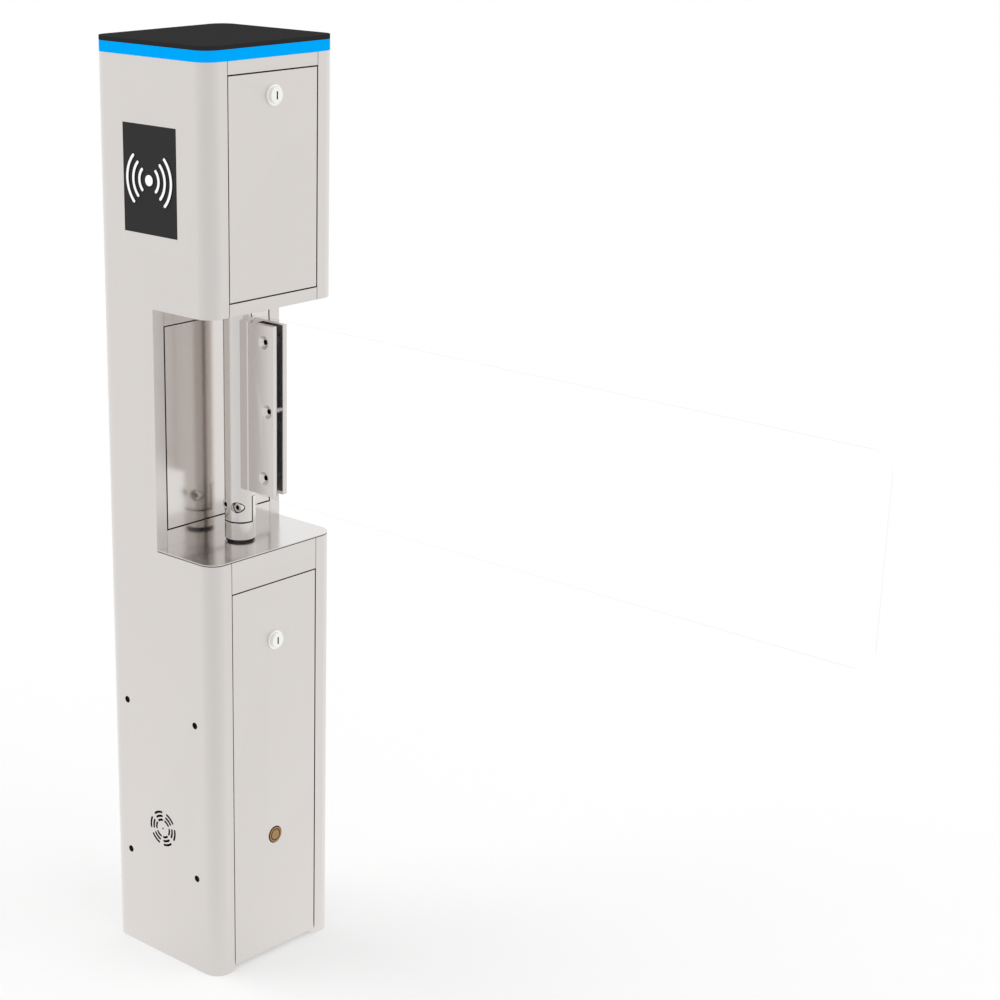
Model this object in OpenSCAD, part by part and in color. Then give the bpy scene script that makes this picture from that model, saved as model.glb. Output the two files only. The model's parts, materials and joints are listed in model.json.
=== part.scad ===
// Swing turnstile: a square steel post with a side recess, in which a clear wing turns about
// an upright pivot. Millimetres. The origin is the middle of the post's footprint on the floor,
// -Y is the reader face, +X is the lane side with the two service doors, and +Z is up.
// The wing is drawn closed, across the lane.

/* [Post] */
// Height of the post over its cap
post_h = 1000; // [980:5:1060]
// Width of the post across the reader face
post_w = 168; // [166:1:186]
// Depth of the post across the lane face
post_d = 181; // [178:1:200]
// Outer radius of the casing's upright corners
corner_r = 18; // [16:0.5:22]
// Thickness of the casing, door and rail sheet
sheet_t = 1.5; // [1.2:0.1:1.8]
// Width of the casing's flange on each side of the doors
flange_w = 27.7; // [26:0.1:32]
// Depth of the inward return along each flange
return_d = 12; // [11:0.5:13]
// Seam between fixed sheets that lie side by side
seam = 0.3; // [0.2:0.05:0.5]

/* [Recess] */
// Height of the recess floor as a share of the post's height
floor_share = 0.4774; // [0.47:0.0002:0.486]
// Clear height of the recess
recess_h = 256.8; // [254:0.2:270]
// Distance of the recess's back wall behind the pivot axis
recess_back = 32; // [30:0.5:38]
// Thickness of the polished floor plate
floor_t = 2; // [1.5:0.5:3]
// Thickness of the ceiling plate
ceiling_t = 3; // [2:0.5:4]
// Width of the casing's fold on each side of the recess cover
fold_w = 14.4; // [12:0.2:18]
// Height of the rail under the recess cover
cover_low = 18.2; // [14:0.2:24]
// Height of the rail over the recess cover
cover_high = 19.6; // [14:0.2:24]

/* [Top] */
// Thickness of the black cap
cap_t = 4.4; // [3:0.1:7]
// Height of the light ring
ring_h = 11.1; // [9:0.1:14]
// Width of the light ring's wall
ring_w = 10; // [7:0.5:12]
// Depth of the cap's locating rim
cap_rim = 5; // [3:0.5:6]

/* [Doors] */
// Gap around each door
door_gap = 1.3; // [1.2:0.1:2]
// Height of the lower door's foot above the ground
door_foot = 6.9; // [6.5:0.1:12]
// Height of the rail over the upper door
header_h = 13.1; // [12:0.1:20]
// Height of the rail under the upper door
sill_h = 12.9; // [12:0.1:20]
// Height of the rail over the lower door
rail_h = 34.4; // [30:0.2:42]
// Depth of the folded edge around each door
door_fold = 10; // [9:0.5:11]
// Distance of the hinge pins from the door's face and foot
hinge_in = 4; // [3.8:0.1:4.5]
// Diameter of the hinge pins
hinge_d = 4; // [3:0.5:4]

/* [Locks] */
// Diameter of the lock's collar on the door
lock_collar_d = 21.4; // [19:0.2:24]
// Thickness of the lock's collar
lock_collar_t = 2; // [1:0.1:3]
// Diameter of the turning lock face
lock_face_d = 16.6; // [14:0.2:18]
// Thickness of the turning lock face
lock_face_t = 3.2; // [2:0.1:4]
// Diameter of the lock's threaded body
lock_body_d = 16; // [14:0.5:18]
// Diameter of the lock's turning core
lock_core_d = 11; // [9:0.5:12]
// Height of the key slot
key_slot_h = 7.8; // [6:0.2:9]
// Width of the key slot
key_slot_w = 1.8; // [1.4:0.1:2.4]
// Distance from the door's face back to the lock's cam
cam_back = 15; // [14.5:0.5:17]
// Thickness of the lock's cam
cam_t = 2; // [1.5:0.5:3]
// Width of the lock's cam
cam_w = 16; // [14:1:18]
// Reach of the upper lock's cam
upper_cam_l = 32; // [30:1:36]
// Reach of the lower lock's cam
lower_cam_l = 42; // [40:1:46]
// Upper lock's centre below its door's top edge
upper_lock_drop = 22.6; // [21:0.2:24]
// Lower lock's centre below its door's top edge
lower_lock_drop = 64.2; // [62:0.2:68]

/* [Reader] */
// Width of the reader window
reader_w = 78.6; // [70:0.2:84]
// Height of the reader window
reader_h = 108.4; // [100:0.2:114]
// Reader window's centre below the top of the post
reader_drop = 135.6; // [125:0.2:150]
// Thickness of the reader window
reader_t = 3; // [2.5:0.5:4]
// Outer radii of the raised wave symbol's three rings
wave_r = [15.8, 24.9, 34];
// Width of the symbol's strokes
wave_w = 3; // [2:0.2:4]
// Half the angle that each wave spans
wave_half = 45; // [35:1:50]
// Diameter of the symbol's dot
wave_dot = 11; // [8:0.5:12]
// Height of the symbol over the window
wave_rise = 1.4; // [0.8:0.1:2]

/* [Sensors and speaker] */
// Diameter of the infrared sensors' holes
ir_d = 6.5; // [5:0.1:8]
// Distance of the infrared sensors from the middle of the reader face
ir_x = 54.2; // [50:0.2:58]
// Height of the lower infrared sensors
ir_low = 112.5; // [100:0.5:118]
// Height of the upper infrared sensors as a share of the post's height
ir_share = 0.293; // [0.285:0.0005:0.296]
// Height of the speaker
speaker_z = 155; // [150:1:165]
// Diameter of the speaker
speaker_d = 57; // [50:1:60]
// Middle radii of the speaker's slots
slot_r = [10.2, 14.7, 19.3];
// Width of the speaker's slots
slot_w = 1.9; // [1.4:0.1:2.4]
// Angle from end to end of each speaker slot
slot_span = 35; // [28:1:42]
// Diameter of the lane sensor
lane_d = 18; // [16:1:20]
// Height of the lane sensor
lane_z = 146; // [142:1:156]
// Length of the lane sensor
lane_l = 60; // [50:1:62]

/* [Pivot] */
// Distance of the pivot axis behind the door face
pivot_in = 52; // [51.5:0.5:54]
// Diameter of the pivot post and its couplings
pivot_d = 33; // [31:0.5:34]
// Gap around the pivot in the recess floor and ceiling
pivot_clear = 1.8; // [1:0.1:3]
// Height of the lower coupling's collar over the recess floor
collar_h = 21.2; // [18:0.2:24]
// Gap between the lower coupling's collar and the recess floor
collar_lift = 2.6; // [1:0.1:3]
// Height of the lower coupling's tongue over its collar
tongue_h = 32.2; // [30:0.2:33]
// Height of the upper coupling's tongue
upper_tongue_h = 13; // [12.6:0.1:13.4]
// Distance of the couplings' split plane behind the pivot axis
split_y = 3.1; // [2:0.1:4]
// Dark gap at the couplings' shoulders
lap_gap = 1; // [0.5:0.1:1.4]
// Depth of the groove along each edge of the couplings' split plane
lap_groove = 0.6; // [0.2:0.1:1]
// Distance of the coupling screws from the pivot axis
lap_screw_x = 9; // [8.5:0.1:9.2]
// Thread diameter of the lower coupling screws
lap_screw_d = 6; // [5:1:6]
// Thread diameter of the upper coupling screws
top_screw_d = 5; // [4:1:5]

/* [Wing] */
// Height of the clamp
clamp_h = 180; // [170:1:182]
// Height of the clamp's middle over the recess floor
clamp_mid = 150.4; // [148:0.2:151]
// Reach of the clamp from the pivot axis
clamp_reach = 60.5; // [56:0.5:70]
// Thickness of each clamp jaw
jaw_t = 6; // [5:0.5:7]
// Thickness of each rubber pad
pad_t = 1; // [0.5:0.5:1.5]
// Thickness of the clear panel
panel_t = 8; // [6:1:9]
// Height of the clear panel
panel_h = 190; // [182:1:194]
// Reach of the clear panel from the pivot axis
panel_reach = 766; // [300:10:900]
// Radius of the panel's free corners
panel_r = 20; // [10:1:40]
// Thickness of the clamp's root block beside the pivot post
root_x = 24.2; // [22:0.2:26]
// Reach of the clamp's root block behind the front jaw
heel_x = 31; // [29:0.5:33]
// Seam between the root block and the front jaw
jaw_gap = 0.3; // [0.2:0.1:1]
// Bevel of the front jaw's edge beside that seam
jaw_edge = 0.8; // [0.3:0.1:1.2]
// Thread diameter of the clamp screws
clamp_screw_d = 8; // [6:1:8]
// Distance of the outer clamp screws from the pivot axis
clamp_screw_x = 47.6; // [44:0.2:50]
// How much farther out the middle clamp screw is
clamp_stagger = 5; // [0:0.5:6]
// Height from clamp screw to clamp screw
clamp_pitch = 72; // [60:1:78]

/* [Drive] */
// Module of the gear teeth
gear_m = 2; // [1.5:0.25:2]
// Teeth of the gear on the pivot shaft
gear_n = 40; // [36:2:40]
// Teeth of the motor pinion
pinion_n = 18; // [18:1:20]
// Play between meshing teeth
gear_play = 0.3; // [0.2:0.05:0.4]
// Width of the gear teeth
gear_w = 12; // [8:1:14]
// Diameter of the shafts at the bearings
shaft_d = 25; // [22:1:25]
// Outer diameter of the bearings
bearing_d = 52; // [50:1:54]
// Width of the bearings
bearing_w = 15; // [13:1:16]
// Balls in each bearing
ball_n = 9; // [7:1:10]
// Diameter of the bearing balls
ball_d = 7.8; // [7:0.1:8]
// Thickness of the two machined plates
plate_t = 8; // [6:1:10]
// Height of the motor plate's top face as a share of the post's height
drive_share = 0.318; // [0.314:0.001:0.322]
// Depth of the bearing plate's top face below the recess floor
bearing_plate_drop = 36; // [35:0.5:38]
// Diameter of the gearmotor's gearhead
gearhead_d = 62; // [56:1:64]
// Length of the gearhead
gearhead_l = 48; // [40:1:50]
// Diameter of the motor
motor_d = 58; // [50:1:60]
// Length of the motor
motor_l = 86; // [70:1:88]
// Swing of the wing to each side before its stop
swing = 90; // [80:1:90]

/* [Base] */
// Thickness of the base plate
base_t = 6; // [5:1:6]
// Distance of the anchor holes from the post's lane side and its far side
anchor_in_x = 32; // [30:1:36]
// Distance of the anchor holes from the post's reader side and its rear side
anchor_in_y = 22.5; // [20.5:0.5:30]
// Diameter of the anchor holes
anchor_d = 14; // [12:1:16]
// Diameter of the cable hole
cable_d = 50; // [30:1:60]

/* [Hidden] */

$fn = 96;
eps = 0.01;          // overshoot of cuts past a face
fit = 0.3;           // clearance of a loose-fitting insert
slip = 0.05;         // radial clearance of a running fit
half_w = post_w / 2;
half_d = post_d / 2;
open_y = half_d - flange_w;
inner_y = half_d - sheet_t;
pivot_x = half_w - pivot_in;
back_x = pivot_x - recess_back;
floor_z = post_h * floor_share;
motor_plate_z = post_h * drive_share;
ir_high = post_h * ir_share;

steel = "#d6d2cd";
polished = "#c9c5c0";
zinc = "#b9bcc0";
black = "#303030";
chrome = "#f2f2ee";

seat_z = floor_z - floor_t;
ceil_z = floor_z + recess_h;
strip_z = post_h - cap_t - ring_h;
header_z = strip_z - header_h;
sill_z = ceil_z + sill_h;
rail_z = seat_z - rail_h;
reader_z = post_h - reader_drop;

ledge_x = [-46, -10]; // ends of the casing's folded ledges
ledge_w = 14;
ledge_t = 2;
rail_lip_w = 10;

upper_door_z = [sill_z + door_gap, header_z - door_gap];
lower_door_z = [door_foot, rail_z - door_gap];
upper_lock_z = upper_door_z[1] - upper_lock_drop;
lower_lock_z = lower_door_z[1] - lower_lock_drop;
door_y = open_y - door_gap;
hinge_x = half_w - hinge_in;
hinge_head_t = 1.2;
hinge_head_d = 2 * (hinge_in - sheet_t) - fit;
cam_x = half_w - cam_back;
cam_clear = 0.8;     // gap between a lock's cam and what it catches
strike_x = cam_x + cam_clear;
lock_gap = 0.1;      // gap under the turning lock face
lock_body_l = 12;    // length of the lock's shell behind the door's face
lock_nut_t = 3.5;
keeper_drop = 26;     // the keeper's foot over the lock
keeper_z = lower_lock_z + keeper_drop;
keeper_w = 28;
keeper_leg = 8;
tail_w = 7;          // square tail of a lock's core, on which its cam sits
tail_tip = 3;

fold_y = half_d - fold_w;
cover_z = [floor_z + cover_low + door_gap, ceil_z - cover_high - door_gap];
tab_h = 10;          // height of the tabs behind the recess cover
tab_w = 18;
tab_in = 5;          // height of the tabs' screws inside the cover's edge
stud_d = 4;
stud_y = fold_y - 20;
nut_t = 3.2;
wave_face = 0.4;     // thickness of the symbol's white face

inset = ring_w + fit;
led_w = 12;
led_t = 1.6;
led_size = 3;
led_rise = 1.2;
top_plate_t = 2;
top_window_w = 60;
top_window_d = 80;
rim_t = 2;

lane_hole_d = lane_d + 1.8;
lane_proud = 1;
strap_x = half_w - 24;
strap_t = 2;
strap_h = 30;
strap_tab = 15;
lane_nut_t = 4;
reader_body_t = 14;
reader_lid_t = 4;
reader_in = 3;       // how far the reader module's edge is inside its window
reader_cable_d = 10;
ir_body = 12;
ir_depth = 13;

board_w = 98;        // control board on four posts off the back wall
board_h = 134;
board_t = 1.6;
board_off = 8;
board_post_d = 7;
board_y = half_d - corner_r - board_w;
board_lift = 40;
board_z = ceil_z + board_lift;
board_x = -half_w + sheet_t + board_off;
relay_h = 15.4;
psu_w = 104;         // power supply on the back wall
psu_h = 98;
psu_d = 38;
psu_z = base_t + 4;
psu_tray_h = 16;
psu_tray_d = 12;
psu_wall = 2;
psu_slot = 3;

edge_x = cam_x - cam_t - 2;  // lane side edge of the machined plates, clear of the locks
bearing_plate_z = floor_z - bearing_plate_drop;
shoulder_z = seat_z - 13.4;
upper_shoulder_z = ceil_z + ceiling_t + 3.8;
housing_base = 6;
housing_y = 48;
housing_wall = 7;
ball_r0 = (shaft_d + bearing_d) / 4;
land = 1.9;          // radial depth of the bearing rings beside the balls
bearing_at = [shoulder_z - bearing_w, upper_shoulder_z];
spacer_d = 12;
spacer_in = 16.5;    // how far the front spacers are inside the post's sides
spacer_in_back = 24.5;
spacer_x = [edge_x - spacer_d / 2 - 5, -half_w + spacer_in_back - 2.5];
spacer_y = [half_d - spacer_in, half_d - spacer_in_back];
plate_window_w = 34;
plate_window_d = 90;
plate_window_x = -half_w + 39;
motor_hole_d = 30;

collar_z = floor_z + collar_h;
tongue_z = collar_z + tongue_h;
upper_collar_z = ceil_z - 0.8;
lap_step = 0.5;      // gap over a coupling's tongue
neck_d = shaft_d + 2;
lap_seat = -5;       // plane of the coupling screws' heads
post_z = [collar_z + lap_gap, upper_collar_z - lap_step];
lap_z = collar_z + tongue_h / 2 + 1.5;
top_lap_z = upper_collar_z - upper_tongue_h / 2 - 0.3;
lap_bore = lap_screw_d * 2;
lap_land = 13;       // half the width over which the couplings' halves meet
top_bore = top_screw_d * 2;

clamp_z = floor_z + clamp_mid - clamp_h / 2;
clamp_mid_z = floor_z + clamp_mid;
slot_y = panel_t / 2 + pad_t;
clamp_y = slot_y + jaw_t;
jaw_bevel = 1;
panel_play = 0.6;    // gap between the panel's inner edge and the root block
pad_play = 0.3;
panel_hole = clamp_screw_d + 1;
clamp_screws = [[clamp_screw_x, clamp_mid_z - clamp_pitch],
    [clamp_screw_x + clamp_stagger, clamp_mid_z], [clamp_screw_x, clamp_mid_z + clamp_pitch]];

gear_r = gear_m * gear_n / 2;
pinion_r = gear_m * pinion_n / 2;
motor_x = pivot_x - gear_r - pinion_r;
gear_lift = 8;       // the gear's foot over the motor plate
gear_z = motor_plate_z + gear_lift;
seat_d = shaft_d - 1;
foot_d = 20;
bush_wall = 4;
bush_flange = 3;
pinion_shaft_d = 12;
motor_flange = 6;
brake_l = 34;
arm_lift = 10;
arm_z = gear_z + gear_w + arm_lift;
arm_t = 10;
arm_w = 16;
arm_hub = 44;
stop_r = 52;
stop_post_d = 10;
buffer_d = 16;
stop_gap = 0.3;
stop_angle = swing + asin((arm_w / 2 + buffer_d / 2 + stop_gap) / stop_r);
disc_d = 70;
disc_t = 2;
disc_lift = 15;
disc_z = upper_shoulder_z + bearing_w + disc_lift;
disc_hub_d = 32;
upper_foot_d = 20;
fork_r = 30;         // middle of the disc sensors' forks from the axis
fork_l = 15;
fork_w = 12;
fork_base_t = 3;
fork_gap = 1.5;

// Rounded rectangle about the origin
module plan(w, d, r) {
    square([w - 2 * r, d], center = true);
    square([w, d - 2 * r], center = true);
    for (sx = [-1, 1], sy = [-1, 1])
        translate([sx * (w / 2 - r), sy * (d / 2 - r)]) circle(r);
}

// The post's outline, drawn in by a distance
module outline(in = 0) {
    plan(post_w - 2 * in, post_d - 2 * in, corner_r - in);
}

// The space inside the casing, with notches for the flanges' returns
module inner_outline() {
    difference() {
        outline(sheet_t + fit);
        for (s = [-1, 1])
            translate([half_w - return_d - fit, s * (open_y + sheet_t / 2) - sheet_t / 2 - fit])
                square([return_d + fit, sheet_t + 2 * fit]);
    }
}

// A box from its lowest to its highest corner
module block(low, high) {
    translate(low) cube([high[0] - low[0], high[1] - low[1], high[2] - low[2]]);
}

// A rod along +X from x0 to x1
module rod_x(x0, x1, d, y = 0, z = 0) {
    translate([x0, y, z]) rotate([0, 90, 0]) cylinder(d = d, h = x1 - x0);
}

// A rod along +Y from y0 to y1
module rod_y(y0, y1, d, x = 0, z = 0) {
    translate([x, y0, z]) rotate([-90, 0, 0]) cylinder(d = d, h = y1 - y0);
}

// A hexagonal rod along +X from x0 to x1, w across its flats
module hex_x(x0, x1, w, y = 0, z = 0) {
    translate([x0, y, z]) rotate([0, 90, 0]) cylinder(d = w / cos(30), h = x1 - x0, $fn = 6);
}

// A hexagonal rod along +Y from y0 to y1, w across its flats
module hex_y(y0, y1, w, x = 0, z = 0) {
    translate([x, y0, z]) rotate([-90, 0, 0]) cylinder(d = w / cos(30), h = y1 - y0, $fn = 6);
}

// Places a flat shape, drawn in x and z, on the reader face and thickens it from y0 to y1
module on_face(y0, y1) {
    translate([0, y1, 0]) rotate([90, 0, 0]) linear_extrude(y1 - y0) children();
}

// A curved stroke with round ends, of middle radius r, from angle a to angle b. The ends are
// a hair narrower than the stroke, so that no arc runs into another at a tangent.
module stroke(r, w, a, b) {
    far = 2 * r;
    intersection() {
        difference() {
            circle(r + w / 2);
            circle(r - w / 2);
        }
        polygon([[0, 0], far * [cos(a), sin(a)], far * [cos((a + b) / 2), sin((a + b) / 2)],
            far * [cos(b), sin(b)]]);
    }
    for (e = [a, b]) translate(r * [cos(e), sin(e)]) circle(w / 2 - eps, $fn = 24);
}

// Outline of an involute spur gear with a tooth centred on +X
function roll(rb, r) = sqrt(max(0, pow(r / rb, 2) - 1));
function involute(rb, t) = rb * [cos(t * 180 / PI) + t * sin(t * 180 / PI),
    sin(t * 180 / PI) - t * cos(t * 180 / PI)];
function turned(p, a) = [p[0] * cos(a) - p[1] * sin(a), p[0] * sin(a) + p[1] * cos(a)];
function flank(n, side) =
    let (r = gear_m * n / 2, rb = r * cos(20), tip = roll(rb, r + gear_m), at = roll(rb, r),
        p = involute(rb, at), half = 90 / n - gear_play / 4 / r * 180 / PI,
        lag = half + atan2(p[1], p[0]), steps = 5, root = r - 1.25 * gear_m,
        curve = [for (i = [0 : steps]) turned(involute(rb, tip * i / steps), -lag)],
        all = concat([turned([root, 0], -lag)], curve))
    [for (i = [0 : steps + 1])
        let (q = side < 0 ? all[i] : all[steps + 1 - i]) [q[0], side < 0 ? q[1] : -q[1]]];
module gear_outline(n) {
    polygon([for (k = [0 : n - 1], side = [-1, 1], q = flank(n, side)) turned(q, k * 360 / n)]);
}

// Floor fixing

module base_plate() color(zinc)
    difference() {
        linear_extrude(base_t) difference() {
            intersection() {
                inner_outline();
                translate([-post_w, -post_d])
                    square([post_w + half_w - return_d - 8, 2 * post_d]);
            }
            circle(d = cable_d);
        }
        for (sx = [-1, 1], sy = [-1, 1])
            translate([sx * (half_w - anchor_in_x), sy * (half_d - anchor_in_y), -eps])
                cylinder(d = anchor_d, h = base_t + 2 * eps);
    }

// Casing

module casing_profile() {
    difference() {
        outline();
        outline(sheet_t);
        translate([half_w - corner_r, -open_y]) square([2 * corner_r, 2 * open_y]);
    }
    for (s = [-1, 1])
        translate([half_w - return_d, s * (open_y + sheet_t / 2) - sheet_t / 2])
            square([return_d, sheet_t]);
}

// An angle welded inside each side wall of the casing, with its top at z
module ledge(z) {
    weld_y = half_d - sheet_t / 2;
    for (m = [0, 1]) mirror([0, m, 0]) {
        block([ledge_x[0], inner_y - ledge_w, z - ledge_t], [ledge_x[1], weld_y, z]);
        block([ledge_x[0], inner_y - ledge_t, z - ledge_w], [ledge_x[1], weld_y, z]);
    }
}

module casing() color(steel) {
    difference() {
        union() {
            difference() {
                linear_extrude(strip_z) casing_profile();
                block([back_x, -post_d, seat_z], [post_w, post_d, ceil_z]);
            }
            for (m = [0, 1])
                mirror([0, m, 0])
                    block([back_x - sheet_t, fold_y, seat_z], [back_x, half_d, ceil_z]);
            for (z = [motor_plate_z - plate_t, bearing_plate_z - plate_t, strip_z - top_plate_t])
                ledge(z);
        }
        on_face(-half_d - 1, -inner_y + 1)
            translate([0, reader_z]) square([reader_w + fit, reader_h + fit], center = true);
        on_face(-half_d - 1, -inner_y + 1) translate([0, speaker_z]) speaker_slots();
        for (s = [-1, 1], z = [ir_low, ir_high])
            rod_y(-half_d - 1, -inner_y + 1, ir_d, s * ir_x, z);
        for (m = [0, 1], z = [upper_door_z[0], lower_door_z[0]])
            mirror([0, m, 0])
                rod_y(open_y - 1, open_y + sheet_t + 1, hinge_d + 2 * slip, hinge_x,
                    z + hinge_in);
    }
}

// Six groups of three curved slots round a small hole
module speaker_slots() {
    circle(d = 2.2, $fn = 24);
    for (k = [0 : 5], r = slot_r)
        rotate(52.5 + 60 * k) stroke(r, slot_w, -slot_span / 2, slot_span / 2);
}

// Recess

// The floor plate, with a tongue that runs under the back wall between the casing's folds
module recess_floor() color(polished)
    translate([0, 0, seat_z]) linear_extrude(floor_t) difference() {
        union() {
            difference() {
                outline();
                translate([back_x - post_w, -post_d]) square([post_w, 2 * post_d]);
            }
            translate([back_x - 2 * sheet_t, seam - fold_y])
                square([2 * sheet_t + 1, 2 * (fold_y - seam)]);
        }
        translate([pivot_x, 0]) circle(d = neck_d + 2 * pivot_clear);
    }

module recess_ceiling() color(polished)
    translate([0, 0, ceil_z]) linear_extrude(ceiling_t) difference() {
        inner_outline();
        translate([back_x - sheet_t - 10 - post_w, -post_d]) square([post_w, 2 * post_d]);
        translate([pivot_x, 0]) circle(d = pivot_d + 2 * pivot_clear);
        translate([half_w - sheet_t - fit, -open_y]) square([post_w, 2 * open_y]);
    }

// A rail of the recess's back wall with two tabs behind the cover
module recess_rail(z0, z1, tab0, tab1) {
    w = fold_y - seam;
    difference() {
        union() {
            block([back_x - sheet_t, -w, z0], [back_x, w, z1]);
            for (s = [-1, 1])
                block([back_x - 2 * sheet_t, s * stud_y - tab_w / 2, min(z0, tab0)],
                    [back_x - sheet_t, s * stud_y + tab_w / 2, max(z1, tab1)]);
        }
        for (s = [-1, 1])
            rod_x(back_x - 3 * sheet_t, back_x, stud_d + fit, s * stud_y,
                tab0 < z0 ? cover_z[1] - tab_in : cover_z[0] + tab_in);
    }
}

module recess_rails() color(polished) {
    recess_rail(floor_z, floor_z + cover_low, floor_z, cover_z[0] + tab_h);
    recess_rail(ceil_z - cover_high, ceil_z, cover_z[1] - tab_h, ceil_z);
}

module recess_cover() color(polished) {
    w = fold_y - door_gap;
    block([back_x - sheet_t, -w, cover_z[0]], [back_x, w, cover_z[1]]);
    for (s = [-1, 1], z = [cover_z[0] + tab_in, cover_z[1] - tab_in])
        rod_x(back_x - 2 * sheet_t - nut_t - 1.5, back_x - sheet_t, stud_d, s * stud_y, z);
}

module cover_nuts() color(zinc)
    for (s = [-1, 1], z = [cover_z[0] + tab_in, cover_z[1] - tab_in])
        difference() {
            hex_x(back_x - 2 * sheet_t - nut_t, back_x - 2 * sheet_t, 7, s * stud_y, z);
            rod_x(back_x - 2 * sheet_t - nut_t - 1, back_x, stud_d, s * stud_y, z);
        }

// Top

module light_ring() color("#00a8ff")
    translate([0, 0, strip_z]) linear_extrude(ring_h) difference() {
        outline();
        outline(ring_w);
    }

module led_ring() color("white") {
    translate([0, 0, strip_z]) linear_extrude(led_t) difference() {
        outline(inset);
        outline(inset + led_w / 2);
    }
    led_y = half_d - inset - led_w / 4;
    led_x = half_w - inset - led_w / 4;
    for (s = [-1, 1], k = [-4 : 4], p = [[k * post_w / 12, s * led_y], [s * led_x, k * post_d / 12]])
        translate([p[0], p[1], strip_z + led_t])
            translate([-led_size / 2, -led_size / 2, 0]) cube([led_size, led_size, led_rise]);
}

module top_plate() color(zinc)
    translate([0, 0, strip_z - top_plate_t]) linear_extrude(top_plate_t) difference() {
        inner_outline();
        translate([half_w - sheet_t - fit, -open_y]) square([post_w, 2 * open_y]);
        plan(top_window_w, top_window_d, 10);
    }

module top_cap() color(black) {
    translate([0, 0, post_h - cap_t]) linear_extrude(cap_t) outline();
    translate([0, 0, post_h - cap_t - cap_rim]) linear_extrude(cap_rim) difference() {
        outline(inset);
        outline(inset + rim_t);
    }
}

// Rails between the flanges

module rail_face(z0, z1) {
    w = open_y - seam;
    block([half_w - sheet_t, -w, z0], [half_w, w, z1]);
}

module rail_lip(z, x = strike_x) {
    w = open_y - seam;
    block([x, -w, z], [half_w, w, z + sheet_t]);
}

module header_rail() color(steel) {
    rail_face(header_z, strip_z);
    rail_lip(header_z);
}

module sill_rail() color(steel) {
    rail_face(ceil_z, sill_z);
    rail_lip(ceil_z + ceiling_t, half_w - rail_lip_w);
}

module lower_rail() color(steel) {
    rail_face(rail_z, seat_z);
    rail_lip(rail_z, strike_x + sheet_t);
    rail_lip(seat_z - sheet_t, half_w - rail_lip_w);
}

// Angle that hangs from the lower rail's lip, for the lower lock to catch
module lock_keeper() color(zinc) {
    top = rail_z + 2 * sheet_t;
    block([strike_x, -keeper_w / 2, keeper_z], [strike_x + sheet_t, keeper_w / 2, top]);
    block([strike_x, -keeper_w / 2, top - sheet_t], [strike_x + keeper_leg, keeper_w / 2, top]);
}

// Doors: folded trays that tilt out about two pins at their foot and lift away

module hinge_pins() color(zinc)
    for (m = [0, 1], z = [upper_door_z[0], lower_door_z[0]])
        mirror([0, m, 0]) union() {
            rod_y(door_y - sheet_t - 1, open_y + sheet_t, hinge_d, hinge_x, z + hinge_in);
            rod_y(open_y + sheet_t, open_y + sheet_t + hinge_head_t, hinge_head_d, hinge_x,
                z + hinge_in);
        }

module door(z, lock_z) {
    difference() {
        block([half_w - door_fold, -door_y, z[0]], [half_w, door_y, z[1]]);
        block([half_w - door_fold - 1, -door_y + sheet_t, z[0] + sheet_t],
            [half_w - sheet_t, door_y - sheet_t, z[1] - sheet_t]);
        rod_y(-post_d, post_d, hinge_d + 2 * slip, hinge_x, z[0] + hinge_in);
        rod_x(half_w - sheet_t - 1, half_w + 1, lock_body_d, 0, lock_z);
    }
}

module upper_door() color(steel) door(upper_door_z, upper_lock_z);

module lower_door() color(steel)
    difference() {
        door(lower_door_z, lower_lock_z);
        rod_x(half_w - sheet_t - 1, half_w + 1, lane_hole_d, 0, lane_z);
    }

// Locks: a shell through the door, and a core with a key slot that carries a cam

module lock_shell(z) color(chrome)
    difference() {
        union() {
            rod_x(half_w, half_w + lock_collar_t, lock_collar_d, 0, z);
            rod_x(half_w - lock_body_l, half_w, lock_body_d, 0, z);
        }
        rod_x(half_w - lock_body_l - 1, half_w + lock_collar_t + 1, lock_core_d + 2 * slip, 0, z);
    }

module lock_plug(z) color(chrome) {
    face_x = half_w + lock_collar_t + lock_gap;
    difference() {
        union() {
            rod_x(face_x, face_x + lock_face_t, lock_face_d, 0, z);
            rod_x(cam_x, face_x, lock_core_d, 0, z);
            block([cam_x - cam_t, -tail_w / 2, z - tail_w / 2], [cam_x, tail_w / 2, z + tail_w / 2]);
            rod_x(cam_x - cam_t - tail_tip, cam_x - cam_t, tail_w + 3, 0, z);
        }
        block([face_x + lock_face_t - 2.5, -key_slot_w / 2, z - key_slot_h / 2],
            [face_x + lock_face_t + 1, key_slot_w / 2, z + key_slot_h / 2]);
    }
}

module lock_cam(z, l) color(zinc)
    translate([cam_x - cam_t, 0, z]) rotate([90, 0, 90]) linear_extrude(cam_t) difference() {
        union() {
            circle(d = cam_w);
            translate([0, -cam_w / 2]) square([l - 3, cam_w]);
            translate([l - 3, -cam_w / 2 + 3]) square([3, cam_w - 6]);
            for (s = [-1, 1]) translate([l - 3, s * (cam_w / 2 - 3)]) circle(3, $fn = 24);
        }
        square(tail_w, center = true);
    }

module lock_nut(z) color(zinc)
    difference() {
        hex_x(half_w - sheet_t - lock_nut_t, half_w - sheet_t, lock_body_d + 6, 0, z);
        rod_x(half_w - lock_body_l, half_w, lock_body_d, 0, z);
    }

module upper_lock_shell() lock_shell(upper_lock_z);
module lower_lock_shell() lock_shell(lower_lock_z);
module upper_lock_plug() lock_plug(upper_lock_z);
module lower_lock_plug() lock_plug(lower_lock_z);
module upper_lock_cam() lock_cam(upper_lock_z, upper_cam_l);
module lower_lock_cam() lock_cam(lower_lock_z, lower_cam_l);
module upper_lock_nut() lock_nut(upper_lock_z);
module lower_lock_nut() lock_nut(lower_lock_z);

// Reader

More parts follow.
